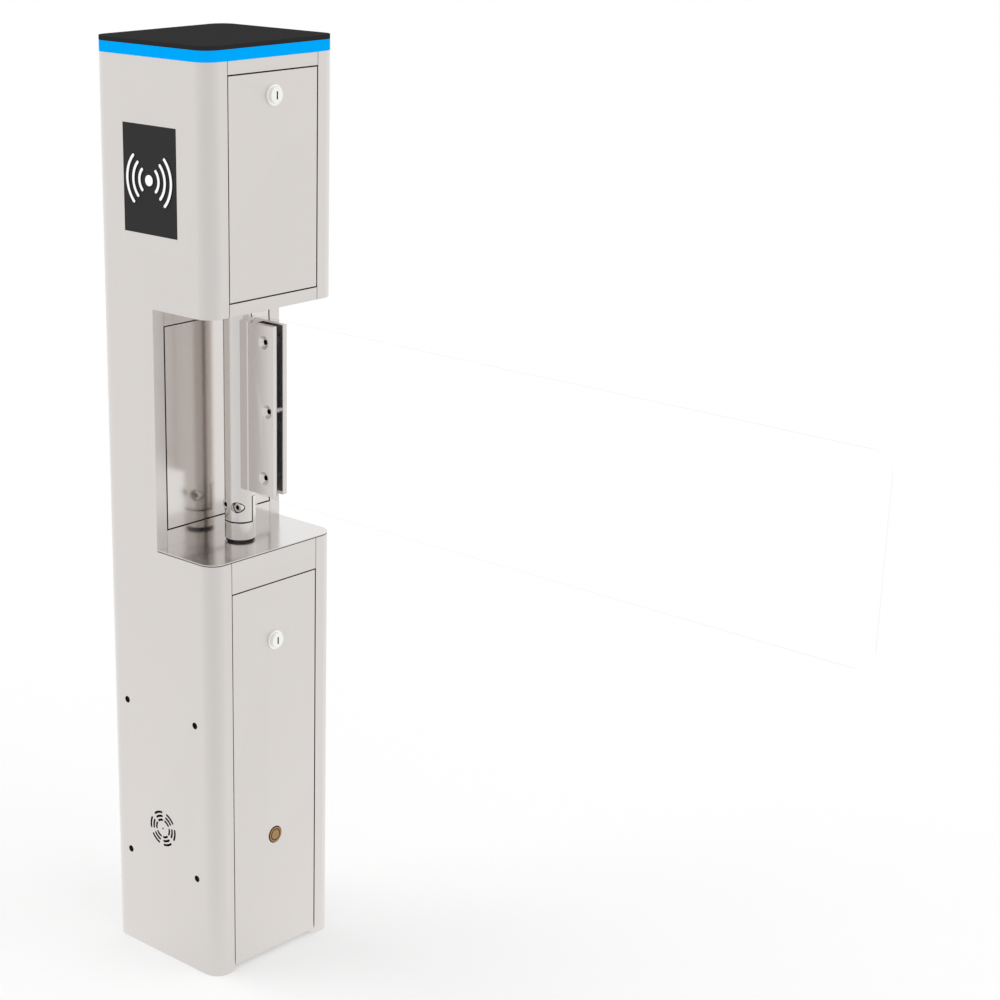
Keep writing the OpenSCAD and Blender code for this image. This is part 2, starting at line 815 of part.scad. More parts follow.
module wave_outline() {
    circle(d = wave_dot);
    for (r = wave_r, a = [0, 180])
        rotate(a) stroke(r - wave_w / 2, wave_w, -wave_half, wave_half);
}

module reader_window() color(black) {
    on_face(-half_d, -half_d + reader_t)
        translate([0, reader_z]) square([reader_w, reader_h], center = true);
    on_face(-inner_y, -half_d + reader_t)
        translate([0, reader_z]) square([reader_w + 10, reader_h + 10], center = true);
    on_face(-half_d - wave_rise + wave_face, -half_d) translate([0, reader_z]) wave_outline();
}

module reader_symbol() color("white")
    on_face(-half_d - wave_rise, -half_d - wave_rise + wave_face)
        translate([0, reader_z]) wave_outline();

module reader_module() color(black) {
    y0 = -half_d + reader_t + fit;
    y1 = y0 + reader_body_t;
    w = reader_w - 2 * reader_in;
    h = reader_h - 4 * reader_in;
    on_face(y0, y1) translate([0, reader_z]) plan(w, h, 2 * reader_in);
    on_face(y1, y1 + reader_lid_t) translate([0, reader_z]) plan(w * 0.7, h * 0.77, reader_in);
    translate([0, (y0 + y1) / 2, reader_z - h / 2 - reader_cable_d])
        cylinder(d = reader_cable_d, h = 2 * reader_cable_d);
}

// Sensors and speaker

module ir_sensors() color(black)
    for (s = [-1, 1], z = [ir_low, ir_high]) {
        rod_y(-half_d + 0.6, -inner_y, ir_d - 2 * slip, s * ir_x, z);
        block([s * ir_x - ir_body / 2, -inner_y, z - ir_body / 2],
            [s * ir_x + ir_body / 2, -inner_y + ir_depth, z + ir_body / 2]);
    }

module speaker() color(black)
    translate([0, -inner_y, speaker_z]) rotate([-90, 0, 0]) rotate_extrude()
        polygon(speaker_d * [[0, 0.105], [0.09, 0.13], [0.14, 0.16], [0.43, 0.026], [0.447, 0],
            [0.5, 0], [0.5, 0.044], [0.465, 0.044], [0.3, 0.228], [0.28, 0.228], [0.28, 0.4],
            [0, 0.4]]);

module lane_sensor() color("#b9995f")
    difference() {
        union() {
            rod_x(half_w + lane_proud - lane_l, half_w + lane_proud, lane_d, 0, lane_z);
            rod_x(half_w + lane_proud - lane_l - 8, half_w + lane_proud - lane_l, lane_d - 5, 0,
                lane_z);
        }
        translate([half_w + lane_proud, 0, lane_z]) rotate([0, -90, 0]) rotate_extrude()
            translate([lane_d / 2 - 3.2, -eps]) square([1.2, 0.8]);
    }

module lane_sensor_nuts() color("#b9995f")
    for (x = [strap_x - lane_nut_t, strap_x + strap_t])
        difference() {
            hex_x(x, x + lane_nut_t, lane_d + 6, 0, lane_z);
            rod_x(x - 1, x + lane_nut_t + 1, lane_d, 0, lane_z);
        }

module sensor_strap() color(zinc)
    difference() {
        union() {
            block([strap_x, -inner_y + fit, lane_z - strap_h / 2],
                [strap_x + strap_t, inner_y - fit, lane_z + strap_h / 2]);
            for (m = [0, 1])
                mirror([0, m, 0])
                    block([strap_x - strap_tab, inner_y - fit - strap_t, lane_z - strap_h / 2],
                        [strap_x + strap_t, inner_y - fit, lane_z + strap_h / 2]);
        }
        rod_x(strap_x - 1, strap_x + strap_t + 1, lane_d, 0, lane_z);
    }

// Drive frame

module plate_outline() {
    intersection() {
        inner_outline();
        translate([-post_w, -post_d]) square([post_w + edge_x, 2 * post_d]);
    }
}

module bearing_plate() color(zinc)
    translate([0, 0, bearing_plate_z - plate_t]) linear_extrude(plate_t) difference() {
        plate_outline();
        translate([pivot_x, 0]) circle(d = shaft_d + 15);
        translate([plate_window_x, 0]) plan(plate_window_w, plate_window_d, 8);
    }

module motor_plate() color(zinc)
    translate([0, 0, motor_plate_z - plate_t]) linear_extrude(plate_t) difference() {
        plate_outline();
        translate([pivot_x, 0]) circle(d = foot_d + 2 * bush_wall);
        translate([motor_x, 0]) circle(d = motor_hole_d);
    }

module plate_spacers() color(zinc)
    for (k = [0, 1], s = [-1, 1])
        translate([spacer_x[k], s * spacer_y[k], motor_plate_z])
            cylinder(d = spacer_d, h = bearing_plate_z - plate_t - motor_plate_z);

// A bearing housing standing on z, whose bearing sits from seat to seat + bearing_w
module bearing_housing(z, seat) {
    top = seat + bearing_w + 2;
    translate([pivot_x, 0, 0]) difference() {
        union() {
            translate([0, 0, z]) linear_extrude(housing_base)
                plan(bearing_d + 2 * housing_wall, 2 * housing_y, 8);
            translate([0, 0, z]) cylinder(d = bearing_d + 2 * housing_wall, h = top - z);
        }
        translate([0, 0, seat]) cylinder(d = bearing_d, h = top);
        translate([0, 0, z - 1]) cylinder(d = shaft_d + 15, h = top);
        for (sx = [-1, 1], sy = [-1, 1])
            translate([sx * 20, sy * (housing_y - 8), z - 1]) cylinder(d = 6.6, h = 20);
    }
}

module bearing_housings() color(zinc) {
    bearing_housing(bearing_plate_z, shoulder_z - bearing_w);
    bearing_housing(ceil_z + ceiling_t, upper_shoulder_z);
}

// Bearings

module ring_section(r0, r1) {
    difference() {
        translate([r0, 0]) square([r1 - r0, bearing_w]);
        translate([ball_r0, bearing_w / 2]) circle(d = ball_d + 4 * slip);
    }
}

module bearing_outer_rings() color(chrome)
    for (z = bearing_at) translate([pivot_x, 0, z]) rotate_extrude()
        ring_section(ball_r0 + land, bearing_d / 2);

module bearing_inner_rings() color(chrome)
    for (z = bearing_at) translate([pivot_x, 0, z]) rotate_extrude()
        ring_section(shaft_d / 2, ball_r0 - land);

module bearing_balls() color(chrome)
    for (z = bearing_at, k = [0 : ball_n - 1])
        translate([pivot_x, 0, z + bearing_w / 2]) rotate(k * 360 / ball_n)
            translate([ball_r0, 0, 0]) sphere(d = ball_d, $fn = 32);

// Shafts with the fixed halves of the couplings

// The rear part of the pivot's round, behind the split plane
module tongue(z, h) {
    intersection() {
        translate([0, 0, z]) cylinder(d = pivot_d, h = h);
        block([-pivot_d, split_y, z], [pivot_d, pivot_d, z + h]);
    }
}

module drive_shaft() color(polished)
    translate([pivot_x, 0, 0]) difference() {
        union() {
            translate([0, 0, floor_z + collar_lift]) cylinder(d = pivot_d, h = collar_h - collar_lift);
            translate([0, 0, shoulder_z]) cylinder(d = neck_d, h = floor_z + collar_lift - shoulder_z + 1);
            tongue(collar_z - 1, tongue_h + 1);
            translate([0, 0, shoulder_z - bearing_w]) cylinder(d = shaft_d, h = bearing_w + 1);
            translate([0, 0, gear_z - 2]) cylinder(d = seat_d, h = shoulder_z - bearing_w - gear_z + 3);
            translate([0, 0, motor_plate_z - plate_t - 4])
                cylinder(d = foot_d, h = gear_z - motor_plate_z + plate_t + 4);
        }
        for (s = [-1, 1]) rod_y(0, split_y + 11, lap_screw_d, s * lap_screw_x, lap_z);
    }

module shaft_bush() color("#b9995f")
    translate([pivot_x, 0, motor_plate_z - plate_t]) difference() {
        union() {
            cylinder(d = foot_d + 2 * bush_wall, h = plate_t + 1);
            translate([0, 0, plate_t]) cylinder(d = foot_d + 4 * bush_wall, h = bush_flange);
        }
        translate([0, 0, -1]) cylinder(d = foot_d + 2 * slip, h = plate_t + bush_flange + 2);
    }

module upper_shaft() color(polished)
    translate([pivot_x, 0, 0]) difference() {
        union() {
            translate([0, 0, upper_collar_z])
                cylinder(d = pivot_d, h = upper_shoulder_z - upper_collar_z);
            tongue(upper_collar_z - upper_tongue_h, upper_tongue_h + 1);
            translate([0, 0, upper_shoulder_z - 1]) cylinder(d = shaft_d, h = bearing_w + 3);
            translate([0, 0, upper_shoulder_z + bearing_w])
                cylinder(d = upper_foot_d, h = disc_z - upper_shoulder_z - bearing_w + 12);
        }
        for (s = [-1, 1]) rod_y(0, split_y + 10, top_screw_d, s * lap_screw_x, top_lap_z);
    }

// Gear train, motor and stops

module drive_gear() color(zinc)
    translate([pivot_x, 0, gear_z]) difference() {
        union() {
            linear_extrude(gear_w) rotate(180) gear_outline(gear_n);
            cylinder(d = seat_d + 16, h = gear_w + 8);
        }
        translate([0, 0, -1]) cylinder(d = seat_d, h = gear_w + 12);
        for (k = [0 : 5]) rotate(30 + 60 * k) translate([(seat_d + gear_r * 2 - 4) / 4 + 2, 0, -1])
            cylinder(d = 9, h = gear_w + 2);
    }

module motor_pinion() color(zinc)
    translate([motor_x, 0, 0]) union() {
        translate([0, 0, gear_z - 1]) linear_extrude(gear_w + 2)
            rotate(180 / pinion_n) gear_outline(pinion_n);
        translate([0, 0, motor_plate_z - plate_t - 20])
            cylinder(d = pinion_shaft_d, h = gear_z - motor_plate_z + plate_t + 20 + gear_w + 3);
    }

module gearmotor() color("#5a5d61")
    translate([motor_x, 0, motor_plate_z - plate_t]) rotate([180, 0, 0]) difference() {
        union() {
            linear_extrude(motor_flange) plan(gearhead_d + 6, gearhead_d + 6, 8);
            cylinder(d = gearhead_d, h = gearhead_l);
            translate([0, 0, gearhead_l]) cylinder(d = motor_d, h = motor_l);
            for (k = [0 : 11]) rotate(15 + 30 * k)
                translate([motor_d / 2 - 1, -1.5, gearhead_l + 8]) cube([3, 3, motor_l - 16]);
            translate([0, 0, gearhead_l + motor_l]) cylinder(d = motor_d - 6, h = brake_l);
        }
        translate([0, 0, -1]) cylinder(d = pinion_shaft_d + 2 * slip, h = 24);
    }

module stop_arm() color(zinc)
    translate([pivot_x, 0, arm_z]) linear_extrude(arm_t) difference() {
        union() {
            circle(d = arm_hub);
            translate([-stop_r, -arm_w / 2]) square([stop_r, arm_w]);
            translate([-stop_r, 0]) circle(d = arm_w);
        }
        circle(d = seat_d);
    }

module at_stops() {
    for (s = [-1, 1]) translate([pivot_x, 0, 0]) rotate(180 + s * stop_angle)
        translate([stop_r, 0, 0]) children();
}

module stop_posts() color(zinc)
    at_stops() translate([0, 0, motor_plate_z])
        cylinder(d = stop_post_d, h = arm_z + arm_t + 4 - motor_plate_z);

module stop_buffers() color(black)
    at_stops() translate([0, 0, arm_z - 2]) difference() {
        cylinder(d = buffer_d, h = arm_t + 4);
        translate([0, 0, -1]) cylinder(d = stop_post_d, h = arm_t + 6);
    }

// Position sensing over the upper bearing

module position_disc() color(black)
    translate([pivot_x, 0, disc_z]) difference() {
        union() {
            cylinder(d = disc_d, h = disc_t);
            cylinder(d = disc_hub_d, h = 10);
        }
        translate([0, 0, -1]) cylinder(d = upper_foot_d, h = 12);
        for (a = [0, 120, 240]) rotate(a)
            translate([disc_d / 2 - 5, -2, -1]) cube([6, 4, disc_t + 2]);
    }

module disc_sensors() color(black) {
    base = upper_shoulder_z + bearing_w + 2;
    arm = fork_w + 2;
    translate([pivot_x, 0, base]) linear_extrude(fork_base_t) difference() {
        union() {
            circle(d = bearing_d + 2 * housing_wall);
            for (a = [120, 180, 240])
                rotate(a) translate([0, -arm / 2]) square([fork_r + fork_l + 1, arm]);
        }
        circle(d = bearing_d - 6);
    }
    for (a = [120, 180, 240])
        translate([pivot_x, 0, 0]) rotate(a) difference() {
            block([fork_r, -fork_w / 2, base + fork_base_t],
                [fork_r + fork_l, fork_w / 2, disc_z + disc_t + fork_w / 2]);
            block([fork_r - 1, -arm / 2, disc_z - fork_gap],
                [disc_d / 2 + fork_gap, arm / 2, disc_z + disc_t + fork_gap]);
        }
}

// Electronics

// A part on the control board, placed and sized by shares of the board's width and height
module on_board(y, z, w, h, rise) {
    block([board_x + board_t, board_y + y * board_w, board_z + z * board_h],
        [board_x + board_t + rise, board_y + (y + w) * board_w, board_z + (z + h) * board_h]);
}

module control_board() color("#2f6b45") {
    for (y = [0.06, 0.94], z = [0.05, 0.95])
        rod_x(board_x - board_off, board_x, board_post_d, board_y + y * board_w,
            board_z + z * board_h);
    block([board_x, board_y, board_z], [board_x + board_t, board_y + board_w, board_z + board_h]);
    on_board(0.04, 0.74, 0.56, 0.11, relay_h * 0.8);
    for (k = [0 : 3]) on_board(0.1 + 0.205 * k, 0.12, 0.165, 0.15, relay_h);
    on_board(0.4, 0.4, 0.24, 0.18, relay_h / 5);
    for (k = [0 : 2])
        rod_x(board_x + board_t, board_x + board_t + relay_h, 0.12 * board_w,
            board_y + 0.12 * board_w, board_z + (0.37 + 0.125 * k) * board_h);
    on_board(0.78, 0.35, 0.16, 0.31, relay_h * 1.3);
}

module power_supply() color(polished) {
    x = -half_w + sheet_t + fit;
    x1 = x + psu_d;
    half = psu_w / 2;
    difference() {
        block([x, -half, psu_z], [x1, half, psu_z + psu_h]);
        block([x1 - psu_tray_d, -half + psu_wall, psu_z - 1],
            [x1 + 1, half - psu_wall, psu_z + psu_tray_h]);
        for (k = [-4 : 4])
            block([x1 - 1, 3 * k * psu_slot - psu_slot / 2, psu_z + psu_h * 0.35],
                [x1 + 1, 3 * k * psu_slot + psu_slot / 2, psu_z + psu_h * 0.9]);
    }
    for (k = [-3 : 3])
        block([x1 - psu_tray_d - eps, (k - 0.4) * psu_w / 8, psu_z],
            [x1 - psu_tray_d / 3, (k + 0.4) * psu_w / 8, psu_z + psu_tray_h + eps]);
}

// Wing

// The space that a coupling's tongue takes, with a groove along each edge of the split plane
module lap_cut(z0, z1) {
    block([-pivot_d, split_y, z0], [pivot_d, pivot_d, z1]);
    for (m = [0, 1])
        mirror([m, 0, 0]) block([lap_land, split_y - lap_groove, z0], [pivot_d, pivot_d, z1]);
}

module pivot_post() color(steel)
    translate([pivot_x, 0, 0]) difference() {
        translate([0, 0, post_z[0]]) cylinder(d = pivot_d, h = post_z[1] - post_z[0]);
        lap_cut(0, tongue_z + lap_step);
        lap_cut(upper_collar_z - upper_tongue_h - lap_step, post_h);
        for (s = [-1, 1]) {
            rod_y(-pivot_d, lap_seat, lap_bore, s * lap_screw_x, lap_z);
            rod_y(-pivot_d, pivot_d / 2, lap_screw_d, s * lap_screw_x, lap_z);
            rod_y(-pivot_d, lap_seat, top_bore, s * lap_screw_x, top_lap_z);
            rod_y(-pivot_d, pivot_d / 2, top_screw_d, s * lap_screw_x, top_lap_z);
        }
    }

module clamp_bracket() color(steel)
    difference() {
        translate([pivot_x, 0, clamp_z]) linear_extrude(clamp_h) difference() {
            polygon([[0, -clamp_y], [root_x, -clamp_y], [root_x, -slot_y], [heel_x, -slot_y],
                [heel_x, slot_y], [clamp_reach, slot_y], [clamp_reach, clamp_y - jaw_bevel],
                [clamp_reach - jaw_bevel, clamp_y], [0, clamp_y]]);
            circle(d = pivot_d);
        }
        for (p = clamp_screws)
            rod_y(0, clamp_y + 1, clamp_screw_d, pivot_x + p[0], p[1]);
    }

module front_jaw() color(steel)
    difference() {
        translate([pivot_x, 0, clamp_z]) linear_extrude(clamp_h)
            polygon([[root_x + jaw_gap, -clamp_y + jaw_edge],
                [root_x + jaw_gap + jaw_edge, -clamp_y],
                [clamp_reach - jaw_bevel, -clamp_y], [clamp_reach, -clamp_y + jaw_bevel],
                [clamp_reach, -slot_y], [root_x + jaw_gap, -slot_y]]);
        for (p = clamp_screws)
            rod_y(-clamp_y - 1, 0, clamp_screw_d + 2 * slip, pivot_x + p[0], p[1]);
    }

module clamp_pads() color(black)
    for (y = [-slot_y, panel_t / 2])
        difference() {
            block([pivot_x + heel_x + pad_play, y, clamp_z],
                [pivot_x + clamp_reach, y + pad_t, clamp_z + clamp_h]);
            for (p = clamp_screws)
                rod_y(y - 1, y + pad_t + 1, clamp_screw_d + fit, pivot_x + p[0], p[1]);
        }

module wing_panel() color([0.93, 0.96, 0.97, 0.35]) {
    x0 = heel_x + panel_play;
    l = panel_reach - x0;
    difference() {
        translate([pivot_x + x0, panel_t / 2, clamp_mid_z]) rotate([90, 0, 0])
            linear_extrude(panel_t) {
                translate([0, -panel_h / 2]) square([l - panel_r, panel_h]);
                translate([l - panel_r - eps, -panel_h / 2 + panel_r])
                    square([panel_r + eps, panel_h - 2 * panel_r]);
                for (s = [-1, 1])
                    translate([l - panel_r, s * (panel_h / 2 - panel_r)]) circle(panel_r);
            }
        for (p = clamp_screws)
            rod_y(-panel_t, panel_t, panel_hole, pivot_x + p[0], p[1]);
    }
}

// A button-head screw through the jaws and the panel, from the front jaw's face
module clamp_screw(x, z) {
    head_d = clamp_screw_d * 1.75;
    head_t = clamp_screw_d * 0.55;
    difference() {
        union() {
            rod_y(-clamp_y, clamp_y, clamp_screw_d, x, z);
            translate([x, -clamp_y, z]) rotate([90, 0, 0]) rotate_extrude() intersection() {
                square([head_d / 2, head_t]);
                translate([0, head_t - head_d * 0.78]) circle(d = head_d * 1.56);
            }
        }
        hex_y(-clamp_y - head_t - 1, -clamp_y - head_t + 2.6, clamp_screw_d * 0.625, x, z);
    }
}

// A socket-head screw whose head rests on the plane y = lap_seat
module lap_screw(x, z, d, tip) {
    difference() {
        union() {
            rod_y(lap_seat, tip, d, x, z);
            rod_y(lap_seat - d, lap_seat, d * 1.66, x, z);
        }
        hex_y(lap_seat - d - 1, lap_seat - d / 2, d * 0.83, x, z);
    }
}

module wing_screws() color(chrome) {
    for (p = clamp_screws) clamp_screw(pivot_x + p[0], p[1]);
    for (s = [-1, 1]) {
        lap_screw(pivot_x + s * lap_screw_x, lap_z, lap_screw_d, split_y + 9);
        lap_screw(pivot_x + s * lap_screw_x, top_lap_z, top_screw_d, split_y + 8);
    }
}

base_plate();
casing();
recess_floor();
recess_ceiling();
recess_rails();
recess_cover();
cover_nuts();
light_ring();
led_ring();
top_plate();
top_cap();
header_rail();
sill_rail();
lower_rail();
lock_keeper();
hinge_pins();
upper_door();
lower_door();
upper_lock_shell();
lower_lock_shell();
upper_lock_plug();
lower_lock_plug();
upper_lock_cam();
lower_lock_cam();
upper_lock_nut();
lower_lock_nut();
reader_window();
reader_symbol();
reader_module();
ir_sensors();
speaker();
lane_sensor();
lane_sensor_nuts();
sensor_strap();
bearing_plate();
motor_plate();
plate_spacers();
bearing_housings();
bearing_outer_rings();
bearing_inner_rings();
bearing_balls();
drive_shaft();
shaft_bush();
upper_shaft();
drive_gear();
motor_pinion();
gearmotor();
stop_arm();
stop_posts();
stop_buffers();
position_disc();
disc_sensors();
control_board();
power_supply();
pivot_post();
clamp_bracket();
front_jaw();
clamp_pads();
wing_panel();
wing_screws();
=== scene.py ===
"""Looks of the swing turnstile: finishes, fine edges, turned pieces, small repeated parts and the
studio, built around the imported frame. Run it as a script."""

import json
import math

import bmesh
import bpy
from bpy.props import FloatProperty, FloatVectorProperty, IntProperty, PointerProperty
from bpy.types import Operator, Panel, PropertyGroup
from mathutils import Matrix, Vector


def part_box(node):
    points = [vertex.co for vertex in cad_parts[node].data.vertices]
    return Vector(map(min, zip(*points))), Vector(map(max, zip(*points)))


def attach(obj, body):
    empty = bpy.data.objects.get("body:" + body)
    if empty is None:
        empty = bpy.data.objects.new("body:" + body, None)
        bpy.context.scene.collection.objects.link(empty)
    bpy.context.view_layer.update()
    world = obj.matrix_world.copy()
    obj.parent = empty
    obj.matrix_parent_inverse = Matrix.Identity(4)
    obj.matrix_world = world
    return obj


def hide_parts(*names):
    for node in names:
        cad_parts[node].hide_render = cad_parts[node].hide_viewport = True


bl_info = {
    "name": "Swing turnstile",
    "version": (1, 0, 0),
    "blender": (4, 5, 0),
    "location": "3D View > Sidebar > Turnstile",
    "description": "Dresses a swing turnstile post with its finishes and fine pieces",
    "category": "Object",
}

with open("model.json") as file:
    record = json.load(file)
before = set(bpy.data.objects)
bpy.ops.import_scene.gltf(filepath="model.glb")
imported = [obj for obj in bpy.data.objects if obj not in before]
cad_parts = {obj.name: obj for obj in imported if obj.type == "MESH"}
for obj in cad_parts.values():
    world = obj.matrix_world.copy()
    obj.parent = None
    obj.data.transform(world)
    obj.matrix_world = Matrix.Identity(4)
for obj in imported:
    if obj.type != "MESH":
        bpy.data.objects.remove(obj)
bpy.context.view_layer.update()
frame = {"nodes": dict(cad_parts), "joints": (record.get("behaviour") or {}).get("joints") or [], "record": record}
BODY_OF = {n: b for b, names in frame["record"]["behaviour"]["bodies"].items() for n in names}
PIVOT = next(Vector(j["pos_m"]) for j in frame["joints"] if j["name"] == "wing_swing")
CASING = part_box("casing")
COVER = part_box("recess_cover")
ORIGIN = (0, 0, 0)
TO_X = (0, math.pi / 2, 0)  # turns what stands upright along X
MM = 0.001
SHEET = 1.5 * MM
KEY_SLOT = 0.9 * MM, 3.9 * MM  # half its width and half its height
FAR = 0.2  # beyond the post, for tools that cut right through
CAMERA_PLACE = (1.720265, -1.617047, 1.227425)  # solved from the photo, as are the next two
CAMERA_TURN = (math.radians(70), 0, math.radians(45))
CAMERA_LENS, CAMERA_SHIFT = 82.49, (0.2126, 0.1265)
SHARP_ANGLE = math.radians(36)  # edges sharper than this are not shaded smooth


# Sizes and colours


def colour_property(name, note, default):
    return FloatVectorProperty(name=name, description=note, subtype="COLOR", size=3, min=0, max=1,
                               default=default)


def share_property(name, note, default):
    return FloatProperty(name=name, description=note, subtype="FACTOR", min=0, max=1,
                         default=default)


def light_property(name, note, default, most):
    return FloatProperty(name=name, description=note, min=0, max=most, default=default)


def length_property(name, note, default, most, least=0, digits=5):
    return FloatProperty(name=name, description=note, subtype="DISTANCE", unit="LENGTH",
                         min=least, max=most, precision=digits, default=default)


def count_property(name, note, default, least, most):
    return IntProperty(name=name, description=note, min=least, max=most, default=default)


class SteelLook(PropertyGroup):
    """Casing, doors, rails and wing fittings"""

    satin: colour_property(
        "Satin steel", "Colour of the satin casing and doors", (0.735, 0.702, 0.678))
    satin_roughness: share_property(
        "Satin roughness", "How blurred the casing's reflections are", 0.32)
    polished: colour_property(
        "Polished steel", "Colour of the polished recess", (0.750, 0.715, 0.690))
    polished_roughness: share_property(
        "Polished roughness", "How blurred the recess's reflections are", 0.16)
    grain: length_property("Grain depth", "Depth of the brushed grain", 0.00002, 0.001, digits=6)
    edge: length_property("Sheet edge", "Radius of the broken edges of the sheets", 0.0003, 0.002)
    corner: length_property(
        "Corner radius", "Outer radius of the casing's upright corners", 0.018, 0.05, 0.005, 4)
    corner_steps: count_property("Corner steps", "Facets round each upright corner", 20, 4, 48)


class TopLook(PropertyGroup):
    """Cap, light ring and its row of lamps"""

    cap: colour_property("Cap", "Colour of the cap and the reader window", (0.036, 0.036, 0.036))
    lens: colour_property("Light ring", "Colour of the lit ring", (0.0, 0.405, 1.0))
    glow: light_property("Glow", "How strongly the ring is lit", 0.83, 5)
    cap_edge: length_property("Cap edge", "Radius of the cap's upper edge", 0.0006, 0.003)
    leds_x: count_property("Diodes across", "Diodes along each short side", 9, 1, 30)
    leds_y: count_property("Diodes deep", "Diodes along each long side", 9, 1, 30)


class WingLook(PropertyGroup):
    """Pivot, clamp and clear panel"""

    panel: colour_property("Panel", "Tint of the clear panel", (0.997, 0.999, 0.999))
    panel_edge: length_property(
        "Panel edge", "Radius of the panel's polished edges", 0.0005, 0.003)
    turned_sides: count_property(
        "Sides of turned parts", "Facets round the turned parts", 128, 24, 256)


class StudioLook(PropertyGroup):
    """Floor, lamps and world"""

    floor: share_property("Floor", "Paleness of the floor", 0.6)
    world: light_property("World light", "Even light from all round", 0.7, 2)
    lamps: light_property("Lamp light", "Light from the lamps on the floor", 0.3, 2)


# Shader and geometry trees


def sums(operation, turned=False):
    """An operator of Sum; turned gives its reflected form."""

    def operator(self, other=0.0):
        a, b = (other, self) if turned else (self, other)
        return self.tree.node("ShaderNodeMath", {"operation": operation}, {0: a, 1: b})

    return operator


class Sum:
    """A socket of a tree, on which ordinary sums can be written; a | b is the larger one."""

    def __init__(self, tree, socket):
        self.tree, self.socket = tree, socket

    __add__, __radd__ = sums("ADD"), sums("ADD", True)
    __sub__, __rsub__ = sums("SUBTRACT"), sums("SUBTRACT", True)
    __mul__, __rmul__ = sums("MULTIPLY"), sums("MULTIPLY", True)
    __rtruediv__ = sums("DIVIDE", True)
    __gt__, __lt__ = sums("GREATER_THAN"), sums("LESS_THAN")
    __abs__, __or__ = sums("ABSOLUTE"), sums("MAXIMUM")
    root, cosine = sums("SQRT"), sums("COSINE")


class Tree:
    """Writes nodes into a shader, world or geometry tree."""

    def __init__(self, nodes_of):
        self.tree = nodes_of
        self.tree.nodes.clear()

    def node(self, kind, settings=None, sockets=None, out=0):
        """Adds one node: its settings first, then the values or links of its sockets."""
        made = self.tree.nodes.new(kind)
        for name, value in (settings or {}).items():
            setattr(made, name, value)
        for name, value in (sockets or {}).items():
            for one in value if isinstance(value, list) else [value]:
                if isinstance(one, Sum):
                    self.tree.links.new(one.socket, made.inputs[name])
                else:
                    made.inputs[name].default_value = one
        return Sum(self, made.outputs[out]) if made.outputs else made

    def mix(self, factor, a, b):
        """A colour between a and b."""
        return self.node("ShaderNodeMix", {"data_type": "RGBA"},
                         {0: factor, 6: paint(a), 7: paint(b)}, 2)


def paint(colour):
    return colour if isinstance(colour, Sum) else (*tuple(colour)[:3], 1.0)


def scaled(colour, share):
    return tuple(min(1.0, c * share) for c in colour)


def look(group):
    return getattr(bpy.context.scene, "turnstile_" + group)


def middle_of(node):
    """The height of a node's middle."""
    low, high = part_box(node)
    return (low.z + high.z) / 2


def place(tree, scale):
    """The piece's own coordinates, stretched for a pattern."""
    where = tree.node("ShaderNodeTexCoord", out="Object")
    return tree.node("ShaderNodeMapping", None, {"Vector": where, "Scale": scale})


def axes_of(tree):
    """The piece's own x, y and z."""
    where = tree.node("ShaderNodeTexCoord", out="Object")
    apart = tree.node("ShaderNodeSeparateXYZ", None, {"Vector": where}).socket.node
    return [Sum(tree, apart.outputs[name]) for name in "XYZ"]


def noise(tree, scale, detail=2.0):
    return tree.node("ShaderNodeTexNoise", None,
                     {"Vector": place(tree, scale), "Scale": 1.0, "Detail": detail})


def surface(tree, **sockets):
    """A Principled surface; underscores in the names stand for spaces."""
    return tree.node("ShaderNodeBsdfPrincipled", None,
                     {k.replace("_", " "): v for k, v in sockets.items()})


def raised(tree, height, distance, strength):
    return tree.node("ShaderNodeBump", None,
                     {"Height": height, "Distance": distance, "Strength": strength})


# Finishes

METALS = {  # colour, roughness, depth and stretch of the grain, clouds, streaks
    "zinc_plated": ((0.52, 0.53, 0.55), 0.38, 0.000006, (260, 260, 260), 0.16, 0.07),
    "machined_aluminium": ((0.62, 0.63, 0.64), 0.34, 0.00001, (24, 900, 900), 0.06, 0.03),
    "folded_aluminium": ((0.66, 0.665, 0.66), 0.42, 0.00001, (40, 900, 40), 0.08, 0.03),
    "gear_steel": ((0.36, 0.355, 0.35), 0.30, 0.000006, (500, 500, 60), 0.14, 0.05),
    "ground_steel": ((0.74, 0.74, 0.75), 0.12, 0.000002, (60, 60, 1800), 0.03, 0.015),
}
PLASTICS = {  # colour, roughness, reflection, depth and size of the texture, mottle
    "sight_black": ((0.004, 0.004, 0.004), 0.6, 0.05, 0.00001, 900),
    "matte_black": ((0.022, 0.022, 0.023), 0.55, 0.3),
    "riser_black": ((0.010, 0.010, 0.010), 0.5, 0.1),
    "rubber": ((0.020, 0.020, 0.020), 0.7, 0.2, 0.00008, 900),
    "motor_grey": ((0.10, 0.11, 0.12), 0.42, 0.4, 0.00008, 700, 0.1),
    "board_white": ((0.82, 0.82, 0.79), 0.5, 0.3, 0.00002),
    "diode_yellow": ((0.85, 0.72, 0.30), 0.35, 0.4, 0.00001),
    "part_blue": ((0.03, 0.10, 0.32), 0.4, 0.4, 0.00002, 900),
    "part_black": ((0.025, 0.025, 0.027), 0.42, 0.4, 0.00003, 900),
}


def new_finish(name, shader):
    """A material whose surface is what shader(tree) gives."""
    name = "fine_" + name
    made = bpy.data.materials.get(name)
    if not made:
        made = bpy.data.materials.new(name)
        made.use_nodes = True
        tree = Tree(made.node_tree)
        tree.node("ShaderNodeOutputMaterial", None, {"Surface": shader(tree)})
    return made


def finish_of(given):
    """The material for a listed finish's name, for a shader function, or as given."""
    if callable(given):
        return new_finish(given.__name__, given)
    if given in METALS:
        return metal(given, *METALS[given])
    return plastic(given, *PLASTICS[given]) if given in PLASTICS else given


